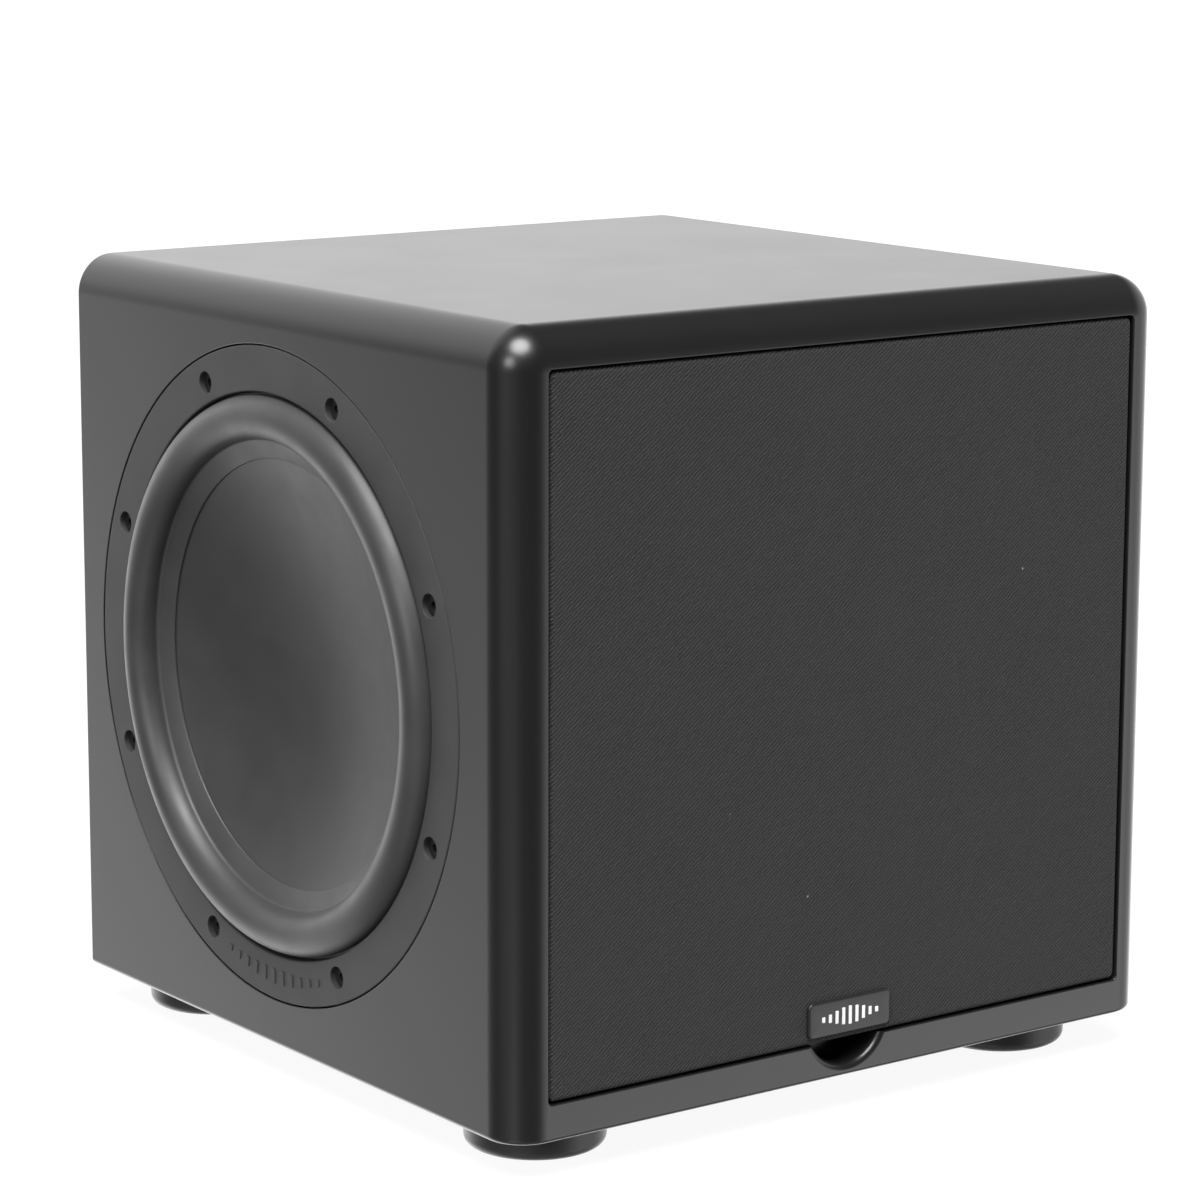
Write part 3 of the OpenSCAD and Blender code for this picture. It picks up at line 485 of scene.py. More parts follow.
lens("led_lens", (0.25, 0.4, 0.8))
moulded("panel_print", (0.7, 0.7, 0.7), 0.5, 0.002)
moulded("jack_white", (0.75, 0.75, 0.72), 0.4, 0.003)
moulded("jack_red", (0.5, 0.012, 0.01), 0.4, 0.003)


# ---- Mesh tools, in millimetres ----

def quarter(steps):
    """Angles in radians from 0 to a right angle."""
    return [pi / 2 * i / steps for i in range(steps + 1)]


def full_turn(steps):
    """Angles in radians, equally spaced round a full turn."""
    return [2 * pi * i / steps for i in range(steps)]


def arc(centre, r, start, end, steps):
    """Points of an arc, with its angles in degrees."""
    angles = [radians(start + (end - start) * i / steps) for i in range(steps + 1)]
    return [(centre[0] + r * cos(a), centre[1] + r * sin(a)) for a in angles]


def rounded(w, h, r, steps=8, side_steps=1):
    """Outline of a w by h rectangle with corners of radius r."""
    corners = [(w / 2 - r, h / 2 - r, 0), (r - w / 2, h / 2 - r, 90),
               (r - w / 2, r - h / 2, 180), (w / 2 - r, r - h / 2, 270)]
    points = []
    for x, y, start in corners:
        bend = arc((x, y), r, start, start + 90, steps)
        if points:
            points += between(points[-1], bend[0], side_steps)
        points += bend
    return points + between(points[-1], points[0], side_steps)


def between(a, b, steps):
    """The points that divide a straight stretch into that many steps, without its ends."""
    return [(a[0] + (b[0] - a[0]) * i / steps, a[1] + (b[1] - a[1]) * i / steps) for i in range(1, steps)]


def circle(r, steps):
    return arc((0, 0), r, 0, 360, steps)[:-1]


def loft(rings, loop=False, open_start=False):
    """A closed mesh through rings of equally many points. A loop has no end faces."""
    bm = bmesh.new()
    grid = [[bm.verts.new(p) for p in ring] for ring in rings]
    pairs = list(zip(grid, grid[1:]))
    if loop:
        pairs.append((grid[-1], grid[0]))
    count = len(grid[0])
    for a, b in pairs:
        for i in range(count):
            j = (i + 1) % count
            bm.faces.new((a[i], a[j], b[j], b[i]))
    if not loop:
        if not open_start:
            bm.faces.new(grid[0][::-1])
        bm.faces.new(grid[-1])
    return bm


def revolve(profile, steps=128):
    """A closed section, as radii and heights, turned about the local Z axis."""
    turns = full_turn(steps)
    return loft([[(r * cos(t), r * sin(t), z) for t in turns] for r, z in profile], loop=True)


def slab(outline, sections):
    """A solid whose outline at each (height, inset) is outline(inset)."""
    return loft([[(x, y, z) for x, y in outline(inset)] for z, inset in sections])


def block(w, h, r, sections, steps=8, share=1.0, least=0.0):
    """A w by h slab whose corners of radius r lose that share of each inset."""
    def outline(inset):
        return rounded(w - 2 * inset, h - 2 * inset, max(least, r - share * inset), steps)

    return slab(outline, sections)


def prism(outline, low, high):
    return loft([[(x, y, z) for x, y in outline] for z in (low, high)])


def eased(low, high, edge, steps=4):
    """Heights and insets of a slab whose upper edge is rounded."""
    bend = [(high - edge + edge * sin(a), edge * (1 - cos(a))) for a in quarter(steps)]
    return [(low, 0)] + bend


def mouth(depth, edge, steps=5, height=2):
    """Heights and insets of a cutter that rounds off the edge of the hole it makes."""
    bend = [(edge * (sin(a) - 1), -edge * (1 - cos(a))) for a in quarter(steps)]
    return [(-depth, 0)] + bend + [(height, -edge)]


def round_hole(r, depth, edge, steps, bend_steps=5):
    return slab(lambda inset: circle(r - inset, steps), mouth(depth, edge, bend_steps))


def moved(bm, x=0.0, y=0.0, z=0.0, turn=0.0):
    """Turns a mesh about Z by degrees after shifting it."""
    spin = Matrix.Rotation(radians(turn), 4, "Z") @ Matrix.Translation((x, y, z))
    bmesh.ops.transform(bm, matrix=spin, verts=bm.verts)
    return bm


def flipped(bm):
    """Turns a cutter that was made downwards so that it points into depth +Z."""
    bmesh.ops.transform(bm, matrix=Matrix.Rotation(pi, 4, "X"), verts=bm.verts)
    return bm


def joined(meshes):
    """One bmesh of several separate ones."""
    whole = bmesh.new()
    for part in meshes:
        mesh = bpy.data.meshes.new("part")
        part.to_mesh(mesh)
        part.free()
        whole.from_mesh(mesh)
        bpy.data.meshes.remove(mesh)
    return whole


def tidy(bm):
    bmesh.ops.remove_doubles(bm, verts=bm.verts, dist=1e-4)
    loose = [e for e in bm.edges if not e.link_faces]
    bmesh.ops.delete(bm, geom=loose, context="EDGES")
    bmesh.ops.recalc_face_normals(bm, faces=bm.faces)


def linked(name, bm):
    """An object in the scene with that mesh, in metres."""
    mesh = bpy.data.meshes.new(name)
    bm.to_mesh(mesh)
    bm.free()
    made = bpy.data.objects.new(name, mesh)
    bpy.context.collection.objects.link(made)
    return made


def mesh_object(name, bm, where):
    """An object made of a mesh in millimetres."""
    tidy(bm)
    made = linked(name, bm)
    made.data.transform(where)
    return made


def repeated(name, one, places):
    """One object with a copy of another at each of several places, instead of it."""
    group = bmesh.new()
    for where in places:
        copy = one.data.copy()
        copy.transform(where)
        group.from_mesh(copy)
        bpy.data.meshes.remove(copy)
    bpy.data.objects.remove(one)
    return linked(name, group)


def apply_modifiers(obj):
    bpy.context.view_layer.update()
    seen = obj.evaluated_get(bpy.context.evaluated_depsgraph_get())
    mesh = bpy.data.meshes.new_from_object(seen)
    obj.modifiers.clear()
    obj.data = mesh


def carve(obj, cutters, where):
    """Cuts each bmesh out of obj."""
    tools = [mesh_object("cutter", bm, where) for bm in cutters]
    for tool in tools:
        step = obj.modifiers.new("cut", "BOOLEAN")
        step.solver = "EXACT"
        step.object = tool
    apply_modifiers(obj)
    for tool in tools:
        bpy.data.objects.remove(tool)


def piece(obj, slot, body="root", replaces=(), smooth=32, material=None, even=True):
    """Shades obj, gives it its material and its body, and hides the CAD nodes that it stands for.

    A piece whose material is no slot of the record is called with the slot None and names its material.
    """
    obj.data.shade_smooth()
    obj.data.set_sharp_from_angle(angle=radians(smooth))
    obj.data.materials.clear()
    obj.data.materials.append(MATERIALS[material or slot])
    if even:
        weigh = obj.modifiers.new("even_normals", "WEIGHTED_NORMAL")
        weigh.keep_sharp = True
    if replaces:
        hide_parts(*replaces)
    if body:
        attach(obj, body)
    return obj


def add(name, bm, where, *finish, **choices):
    """Makes a mesh in millimetres into a finished piece."""
    return piece(mesh_object(name, bm, where), *finish, **choices)


# ---- Cabinet ----

BOTTOM_EDGE = 2.2
BACK_EDGE = 1.2
NOTCH_Z = 39.4
NOTCH_R = 18.9
REBATE = 8.5


def cabinet_ring(z, inset, back_inset):
    """The cabinet's outline at height z: round front corners, nearly square back ones."""
    x, front, back = CAB_W / 2 - inset, FRONT_Y + inset, BACK_Y - back_inset
    r = EDGE_R - inset
    outline = arc((x - r, front + r), r, -90, 0, 16)
    outline += arc((x - BACK_EDGE, back - BACK_EDGE), BACK_EDGE, 0, 90, 4)
    outline += arc((BACK_EDGE - x, back - BACK_EDGE), BACK_EDGE, 90, 180, 4)
    outline += arc((r - x, front + r), r, 180, 270, 16)
    return [(px, py, z) for px, py in outline]


def cabinet_rings():
    rings = []
    for a in quarter(5):
        inset = BOTTOM_EDGE * (1 - sin(a))
        rings.append(cabinet_ring(BASE_Z + BOTTOM_EDGE * (1 - cos(a)), inset, inset))
    for a in quarter(16):
        z = TOP_Z - EDGE_R * (1 - sin(a))
        above = max(0.0, z - TOP_Z + BACK_EDGE)
        back_inset = BACK_EDGE - sqrt(max(0.0, BACK_EDGE ** 2 - above ** 2))
        rings.append(cabinet_ring(z, EDGE_R * (1 - cos(a)), back_inset))
    return rings


def driver_hole():
    """Rebate and through hole that a driver sits in, going into depth +Z."""
    rebate = flipped(round_hole(FLANGE_R + 0.6, REBATE, 0.35, 144))
    through = flipped(prism(circle(BORE_R + 2.8, 144), -24, 1))
    return [rebate, through]


def make_cabinet():
    obj = mesh_object("cabinet", loft(cabinet_rings()), IN_BOX)
    tunnel = prism(rounded(INNER_W, INNER_H, 0.5, 2), -CAB_W, 20)
    pocket_w, pocket_h = CLOTH_W + 2 * GRILLE_GAP, CLOTH_H + 2 * GRILLE_GAP
    pocket = block(pocket_w, pocket_h, 2, mouth(POCKET_DEPTH, 0.45), share=0.5)
    notch = moved(round_hole(NOTCH_R, 15, 3.0, 96, 10), y=NOTCH_Z - CLOTH_MID_Z)
    on_front_middle = ON_FRONT @ Matrix.Translation((0, MID_Z - CLOTH_MID_Z, 0))
    carve(obj, [tunnel], on_front_middle)
    carve(obj, [pocket, notch], ON_FRONT)
    carve(obj, driver_hole(), IN_LEFT)
    carve(obj, driver_hole(), IN_RIGHT)
    piece(obj, "cabinet_lacquer", replaces=["cabinet_shell"])


# ---- Grille ----

def make_cloth():
    """One sheet over the front, round the frame's edges and turned in behind it."""
    edge, corner, hem, thin = 1.8, 2.5, 9.0, 0.9
    back = -CLOTH_RECESS - CLOTH_D
    steps = 28
    sections = [(back - 0.6, hem), (back - 0.8, 4.0), (back - 0.8, 1.2), (back - 0.5, 0.4), (back, 0)]
    sections += eased(back, -CLOTH_RECESS, edge, 6)[1:]
    window, inner_rings = 12.0, 22
    reach = CLOTH_H / 2 - window - 1
    insets = [edge + 1.5, 5, 8] + [window + reach * i / inner_rings for i in range(inner_rings + 1)]
    sections += [(-CLOTH_RECESS, inset) for inset in insets]

    def ripple(x, y):
        return noise.noise(Vector((x / 46, y / 60, 3.1))) * 0.16 - 0.12

    rings = []
    for z, inset in sections:
        outline = rounded(CLOTH_W - 2 * inset, CLOTH_H - 2 * inset, max(0.4, corner - inset), 5, steps)
        slack = min(1.0, max(0.0, (inset - window) / 30))
        rings.append([(x, y, z + slack * ripple(x, y)) for x, y in outline])
    obj = add("cloth", loft(rings, open_start=True), ON_FRONT,
              "grille_fabric", "grille", ["grille_cloth"], smooth=60, even=False)


def make_badge():
    low, high = box_mm("grille_badge")
    w, h, t = high.x - low.x, high.z - low.z, high.y - low.y
    on_badge = place((0, high.y, (low.z + high.z) / 2), (1, 0, 0), (0, -1, 0))
    sections = eased(0, t - 0.15, 0.75, 6) + [(t - 0.06, 2.2), (t, 5.0)]
    add("badge", block(w, h, 2.2, sections, least=0.3), on_badge,
        "badge_plastic", "grille", ["grille_badge"], smooth=50)
    bars = 9
    marks = []
    for i in range(bars):
        bar_h = 2 + 5.5 * sin(pi * (i + 0.5) / bars) ** 2
        bar = block(1.5, bar_h, 0.3, eased(t - 0.3, t + 0.2, 0.08, 3), 4, share=0.5)
        marks.append(moved(bar, x=(i - (bars - 1) / 2) * 3.4))
    add("badge_bars", joined(marks), on_badge, "badge_white", "grille", ["badge_mark"])


# ---- Drivers ----

def dish(r):
    return DISH_DEPTH - DISH_R + sqrt(DISH_R ** 2 - r ** 2)


def flange_profile(basket):
    """Section of a driver's frame. basket is the part behind the legs."""
    section = arc((BORE_R + 0.9, 0.9), 0.9, 180, 270, 5)
    section += arc((FLANGE_R - 0.6, 0.6), 0.6, 270, 360, 4)
    section += [(FLANGE_R, FLANGE_T), (BASKET_R, FLANGE_T), (BASKET_R, LEG_TOP_Z)]
    section += basket
    section += [(BASKET_R - 2.4, LEG_TOP_Z - 2.5), (BASKET_R - 2.4, FLANGE_T), (LIP_R - 3, FLANGE_T)]
    return section + [(LIP_R - 3, ROLL_Z + LIP_T), (BORE_R, ROLL_Z + LIP_T)]


def window_cutter(r_in, r_out, low, high, start, width):
    steps = 16
    rim = arc((0, 0), r_out, start, start + width, steps) + arc((0, 0), r_in, start + width, start, steps)
    return prism(rim, low, high)


def make_driver_frame(name, where, basket, window, node):
    obj = mesh_object(name, revolve(flange_profile(basket), 144), where)
    cutters = []
    for i in range(STUDS):
        turn = 360 * (i + 0.5) / STUDS
        recess = flipped(round_hole(HEAD_RECESS_R, HEAD_RECESS, 0.3, 40, 4))
        hole = prism(circle(2.2, 24), 1, FLANGE_T + 1)
        cutters += [moved(recess, x=SCREW_RING_R, turn=turn), moved(hole, x=SCREW_RING_R, turn=turn)]
    leg = 16
    for i in range(LEGS):
        start = 30 + leg / 2 + 360 * i / LEGS
        cutters.append(window_cutter(window[0], BASKET_R + 1, 9.5, window[1], start, 360 / LEGS - leg))
    carve(obj, cutters, where)
    return piece(obj, "frame_coating", replaces=[node])


def surround_profile():
    """Half roll, from the lip round its outer face to the cone and back inside."""
    outer = [(ROLL_C + x, ROLL_Z - y) for x, y in arc((0, 0), ROLL_R, 0, 180, 36)]
    inner = [(ROLL_C + x, ROLL_Z - y) for x, y in arc((0, 0), ROLL_R - RUBBER_T, 180, 0, 30)]
    edge = [(RUBBER_EDGE_R + 0.3, RUBBER_EDGE_Z - 0.05), (RUBBER_EDGE_R, RUBBER_EDGE_Z + 0.25),
            (RUBBER_EDGE_R, RUBBER_EDGE_Z + 0.8)]
    valley = [(ROLL_C - ROLL_R - 0.35, ROLL_Z + 0.55), (ROLL_C - ROLL_R - 1.1, ROLL_Z + 1.0)]
    lip = [(LIP_R, ROLL_Z + LIP_T), (LIP_R, ROLL_Z + 0.2), (LIP_R - 0.25, ROLL_Z)]
    back = [(RIM_R + 0.6, 4.4), (ROLL_C - ROLL_R + RUBBER_T - 0.1, ROLL_Z + 1.2)]
    return lip + outer + valley + edge + back + inner + [(ROLL_C + ROLL_R - RUBBER_T, ROLL_Z + LIP_T)]


def bend_between(obj, weight):
    """Bakes obj's placement into its mesh and works out, for a bend between two bodies, the weight of each
    point given in metres; the weights are not kept, so obj does not bend.
    """
    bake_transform(obj)
    values = [weight(v.co) for v in obj.data.vertices]


def ring_weight(where, r_free, r_fixed):
    """1 at radius r_free and inside it, 0 at r_fixed and outside, smooth between."""
    back = where.inverted()

    def weight(point):
        local = back @ point
        share = (r_fixed - hypot(local.x, local.y)) / (r_fixed - r_free)
        share = min(1.0, max(0.0, share))
        return share * share * (3 - 2 * share)

    return weight


def make_surround(name, where, node):
    obj = add(name, revolve(surround_profile(), 160), where,
              "surround_rubber", None, [node], smooth=50, even=False)
    bend_between(obj, ring_weight(where, RIM_R + 1.5, LIP_R - 1.5))


def make_spider(name, where, r_in, r_out, z, node):
    flat, waves, swing, t = 5, 4, 1.5, 0.6
    steps = waves * 14
    front = []
    for i in range(steps + 1):
        r = r_in + (r_out - flat - r_in) * i / steps
        front.append((r, z + swing * sin(2 * pi * waves * i / steps)))
    profile = front + [(r_out, z), (r_out, z - t)] + [(r, h - t) for r, h in reversed(front)]
    obj = add(name, revolve(profile, 128), where, "spider_cloth", None, [node], smooth=60, even=False)
    bend_between(obj, ring_weight(where, r_in, r_out - flat))


def make_dish(name, where, body, node):
    """One-piece dish with a tube behind it that carries the spider and the weight."""
    steps = 56
    radii = [RIM_R * i / steps for i in range(steps + 1)]
    front = [(r, dish(r)) for r in radii]
    wall = 1.5
    outside = [(r, dish(r) + CONE_T) for r in reversed(radii) if r > HUB_R]
    inside = [(r, dish(r) + CONE_T) for r in reversed(radii) if r < HUB_R - wall]
    tube = [(HUB_R, dish(HUB_R) + CONE_T), (HUB_R, HUB_END), (3.2, HUB_END), (3.2, HUB_END - 2.5),
            (HUB_R - wall, HUB_END - 2.5), (HUB_R - wall, dish(HUB_R - wall) + CONE_T)]
    add(name, revolve(front + outside + tube + inside, 160), where, "cone_black", body, [node], smooth=40)


def make_flange_bars(name, where):
    """A row of level bars round the bottom of a flange, where a maker puts a name."""
    bars = []
    count = 11
    for i in range(count):
        turn = (i - (count - 1) / 2) * 3.1
        length = 2.8 + 3.6 * sin(pi * (i + 0.5) / count) ** 2
        bar = flipped(block(length, 2.4, 0.6, eased(-0.3, 0.4, 0.35, 4), 4, share=0.5))
        bars.append(moved(bar, x=SCREW_RING_R + 0.6, turn=turn))
    add(name, joined(bars), where, "frame_coating")


def make_screws():
    """All 24 driver screws, each with a hexagon socket, down in its hole."""
    edge = 0.5
    top = HEAD_RECESS - HEAD_H
    head = [(0, top + 0.1)] + arc((HEAD_R - edge, top + edge), edge, -90, 0, 4)
    head += [(HEAD_R, HEAD_RECESS), (1.9, HEAD_RECESS), (1.9, SCREW_LEN - 1.2), (1.2, SCREW_LEN)]
    head.append((0, SCREW_LEN))
    one = mesh_object("screw", revolve(head, 32), Matrix.Identity(4))
    carve(one, [prism(circle(1.75, 6), top - 1, top + 1.5)], Matrix.Identity(4))
    out = Matrix.Translation((SCREW_RING_R, 0, 0))
    spins = [Matrix.Rotation(2 * pi * (i + 0.5) / STUDS, 4, "Z") for i in range(STUDS)]
    places = [where @ spin @ out for where in (IN_WOOFER, IN_LEFT, IN_RIGHT) for spin in spins]
    obj = repeated("driver_screw_set", one, places)
    piece(obj, "black_steel", replaces=["driver_screws"], smooth=35)


def woofer_front(r):
    """Depth of the front of the woofer's cone at radius r."""
    if r > RUBBER_EDGE_R:
        return dish(r)
    rim = dish(RUBBER_EDGE_R)
    return rim + (CONE_NECK_Z - rim) * (RUBBER_EDGE_R - r) / (RUBBER_EDGE_R - FORMER_R)


def make_woofer_cone():
    """Ribbed paper cone with a round dust cap glued to it."""
    steps, back, ribs = 60, 1.25 * CONE_T, 0.18
    front = []
    for i in range(steps + 1):
        r = FORMER_R + (RIM_R - FORMER_R) * i / steps
        rib = ribs * sin(r * 1.1) ** 2 if 44 < r < RUBBER_EDGE_R - 3 else 0
        front.append((r, woofer_front(r) + rib))
    behind = [(r, woofer_front(r) + back) for r, _ in reversed(front)]
    add("paper_cone", revolve(front + behind, 144), IN_WOOFER,
        "cone_black", "woofer_cone_body", ["woofer_cone"], smooth=40)
    cap_r, rise, thick = 40, 12, 1
    ball_r = (cap_r ** 2 + rise ** 2) / (2 * rise)
    centre = (0, woofer_front(cap_r) - rise + ball_r)
    half = degrees(asin(cap_r / ball_r))
    section = arc(centre, ball_r, -90, half - 90, 28) + arc(centre, ball_r - thick, half - 91, -90, 28)
    add("round_cap", revolve(section, 96), IN_WOOFER,
        "cone_black", "woofer_cone_body", ["dust_cap"], smooth=40)


def make_drivers():
    ring_r, spider_z, web_t = 58, 50, 3.5
    basket = [(ring_r + 7, spider_z + web_t + 1), (ring_r - 5, spider_z + web_t + 1),
              (ring_r - 5, spider_z), (ring_r + 5, spider_z)]
    for side, where in (("left", IN_LEFT), ("right", IN_RIGHT)):
        body = f"{side}_radiator_body"
        make_driver_frame(f"{side}_frame", where, basket, (ring_r + 10, 60), f"{side}_radiator_frame")
        make_surround(f"{side}_surround", where, f"{side}_radiator_surround")
        make_dish(f"{side}_dish", where, body, f"{side}_radiator_cone")
        make_spider(f"{side}_spider", where, HUB_R + 0.35, ring_r, spider_z,
                    f"{side}_radiator_spider")
        make_flange_bars(f"{side}_flange_bars", where)
    neck_r, top_plate_z, back_z, spider_z = 78, 88, 85, 62
    basket = [(neck_r, 66), (neck_r, top_plate_z), (44, top_plate_z), (44, back_z), (neck_r - 2.5, back_z),
              (neck_r - 2.5, spider_z + 3), (70, spider_z + 3), (70, spider_z), (neck_r - 1, spider_z)]
    make_driver_frame("woofer_basket", IN_WOOFER, basket, (neck_r + 2, 62), "woofer_frame")
    make_surround("woofer_roll", IN_WOOFER, "woofer_surround")
    make_spider("woofer_centring", IN_WOOFER, FORMER_R + 0.35, neck_r - 3, spider_z,
                "woofer_spider")


# ---- Feet ----

def make_feet():
    for node in ("foot_front_left", "foot_front_right", "foot_rear_left", "foot_rear_right"):
        low, high = box_mm(node)
        r, h = (high.x - low.x) / 2, high.z - low.z
        edge, top_edge, recess_r, hole_r, web_z = 4, 0.8, 6.5, 2.6, 9
        section = [(recess_r, 0.5), (recess_r + 0.5, 0)] + arc((r - edge, edge), edge, -90, 0, 10)
        section += arc((r - top_edge, h - top_edge), top_edge, 0, 90, 3)
        section += [(hole_r, h), (hole_r, web_z), (recess_r, web_z)]
        where = place(((low.x + high.x) / 2, (low.y + high.y) / 2, 0), (1, 0, 0), (0, 0, 1))
        add(node.replace("foot", "round_foot"), revolve(section, 96), where,
            "foot_rubber", replaces=[node], smooth=35)


# ---- Woofer's loose leads ----

def sweep(points, r, sides=10):
    """Closed round tube along a path whose heading never comes near the local X axis."""
    rings = []
    for i, p in enumerate(points):
        ahead = (points[min(i + 1, len(points) - 1)] - points[max(i - 1, 0)]).normalized()
        out = ahead.cross(Vector((1, 0, 0))).normalized()
        up = ahead.cross(out)
        rings.append([p + (out * cos(t) + up * sin(t)) * r for t in full_turn(sides)])
    return loft(rings)


def bezier(a, b, c, d, t):
    return a * (1 - t) ** 3 + b * (3 * t * (1 - t) ** 2) + c * (3 * t * t * (1 - t)) + d * t ** 3


def make_leads():
    """Two braided leads that hang from the solder tags to the back of the cone."""
    share = (RUBBER_EDGE_R - 59) / (RUBBER_EDGE_R - FORMER_R)
    cone_z = RUBBER_EDGE_Z + (CONE_NECK_Z - RUBBER_EDGE_Z) * share
    bends = ((17, -90, 57.5), (17, -84, 50), (15, -68, 52), (13, -58, cone_z + 3.6))
    steps = 28
    leads = []
    for side in (-1, 1):
        turned = [Vector((side * x, y, z)) for x, y, z in bends]
        leads.append(sweep([bezier(*turned, i / steps) for i in range(steps + 1)], 0.8))
    obj = add("woofer_leads", joined(leads), IN_WOOFER, "tinsel", None, ["tinsel_leads"], even=False)
    back = IN_WOOFER.inverted()

    def weight(point):
        return min(1.0, max(0.0, ((back @ point).y + 90) / 32))

    bend_between(obj, weight)


# ---- Back panel and amplifier ----

PLATE_W = 214
PLATE_T = 3
GASKET_T = 1.5
CUT_W = 190
KNOB_XS, KNOB_Y = (-66, -22), 68
SWITCH_X, PHASE_Y, MODE_Y = 32, 76, 54
JACKS = [(x, y) for x in (-70, -48) for y in (18, -4)]
JACK_R = 4.15
INLET = (-56, -62)
SOCKET_Y, DRAWER_Y = -3, -13.5
ROCKER = (-6, -62)
LED = (72, 66)
SINK_LOW, SINK_HIGH = (28, -88), (94, 18)
PLATE_SCREWS = [(x, y) for x in (-101, 0, 101) for y in (-101, 0, 101) if (x, y) != (0, 0)]


def on_rear(x, y, z=0.0):
    return ON_REAR @ Matrix.Translation((x, y, z))


def flat_hole(w, h, r, depth, edge, x=0.0, y=0.0):
    """Cutter for a w by h hole with a rounded edge."""
    return moved(block(w, h, r, mouth(depth, edge, 4), 4, least=0.2), x, y)


def make_back_panel():
    wall = 18
    sections = [(-wall, 0)] + eased(-wall + 1, 0, 0.5)
    obj = mesh_object("rear_panel", block(INNER_W, INNER_H, 0.6, sections, 3, share=0), ON_REAR)
    rebate = flat_hole(PLATE_W + 1, PLATE_W + 1, 5.5, PLATE_T + GASKET_T, 0.3)
    through = prism(rounded(CUT_W, CUT_W, 8), -wall - 1, 0)
    pilots = [moved(prism(circle(1.7, 20), -14.5, 0), *at) for at in PLATE_SCREWS]
    carve(obj, [rebate, through] + pilots, ON_REAR)
    piece(obj, "back_lacquer", replaces=["back_panel"])


def make_plate():
    obj = mesh_object("amplifier_plate", block(PLATE_W, PLATE_W, 5, eased(-PLATE_T, 0, 0.5)), ON_REAR)
    deep = PLATE_T + 1
    holes = [moved(round_hole(2.2, deep, 0.2, 24), *at) for at in PLATE_SCREWS]
    holes += [moved(round_hole(3.15, deep, 0.2, 32), x, KNOB_Y) for x in KNOB_XS]
    holes += [moved(round_hole(JACK_R, deep, 0.15, 32), *at) for at in JACKS]
    holes += [moved(round_hole(1.6, deep, 0.2, 24), *LED),
              flat_hole(11, 4.6, 0.5, deep, 0.3, SWITCH_X, PHASE_Y),
              flat_hole(13, 4.6, 0.5, deep, 0.3, SWITCH_X, MODE_Y),
              flat_hole(28, 32, 0.5, deep, 0.1, INLET[0], INLET[1] + SOCKET_Y),
              flat_hole(15.4, 22, 0.5, deep, 0.1, *ROCKER)]
    carve(obj, holes, ON_REAR)
    piece(obj, "amp_paint", replaces=["amp_plate"])
    posts = [moved(prism(circle(3, 24), -32, -PLATE_T), x, y) for x in (-80, 80) for y in (-67, 67)]
    add("board_posts", joined(posts), ON_REAR, "amp_paint")


def printed_line(a, b, width):
    """Flat printed line from a to b."""
    along = Vector((b[0] - a[0], b[1] - a[1]))
    bar = prism(rounded(along.length + width, width, width * 0.35, 3), -0.02, 0.04)
    moved(bar, turn=degrees(atan2(along.y, along.x)))
    return moved(bar, (a[0] + b[0]) / 2, (a[1] + b[1]) / 2)


def digits(number, x, y, h=3.0):
    """A number in plain strokes, centred on x and y."""
    w, gap = h * 0.5, h * 0.36
    corners = {"a": (0, 1, 1, 1), "b": (1, 1, 1, .5), "c": (1, .5, 1, 0), "d": (0, 0, 1, 0),
               "e": (0, .5, 0, 0), "f": (0, 1, 0, .5), "g": (0, .5, 1, .5)}
    shapes = {"0": "abcdef", "1": "bc", "4": "bcfg", "6": "acdefg", "8": "abcdefg"}
    wide = len(number) * w + (len(number) - 1) * gap
    strokes = []
    for i, digit in enumerate(number):
        left = x - wide / 2 + i * (w + gap)
        for stroke in shapes[digit]:
            x0, y0, x1, y1 = corners[stroke]
            a = (left + x0 * w, y + (y0 - 0.5) * h)
            b = (left + x1 * w, y + (y1 - 0.5) * h)
            strokes.append(printed_line(a, b, 0.38))
    return strokes


def make_print():
    """Dial ticks and numbers, switch ticks and frames round the groups of controls."""
    tick = 0.45
    lines = []
    for x in KNOB_XS:
        for i in range(11):
            a = radians(240 - 30 * i)
            tip = 14.6 if i % 5 == 0 else 13.6
            ends = [(x + r * cos(a), KNOB_Y + r * sin(a)) for r in (12, tip)]
            lines.append(printed_line(*ends, tick))
    for x, low, high in zip(KNOB_XS, ("0", "40"), ("10", "160")):
        lines += digits(low, x - 10.5, KNOB_Y - 15.5) + digits(high, x + 10.5, KNOB_Y - 15.5)
    lines += digits("0", SWITCH_X - 9.5, PHASE_Y) + digits("180", SWITCH_X + 11.5, PHASE_Y)
    for y in (JACKS[0][1], JACKS[1][1]):
        lines.append(printed_line((-63, y), (-55, y), tick))
    for x in (SWITCH_X - 4.2, SWITCH_X, SWITCH_X + 4.2):
        lines.append(printed_line((x, MODE_Y - 4.6), (x, MODE_Y - 6.2), tick))
    for x0, y0, x1, y1 in ((-92, 44, 92, 88), (-84, -18, -34, 32)):
        corners = [(x0, y0), (x1, y0), (x1, y1), (x0, y1)]
        for a, b in zip(corners, corners[1:] + corners[:1]):
            lines.append(printed_line(a, b, 0.35))
    add("panel_print", joined(lines), ON_REAR, None, material="panel_print", even=False)


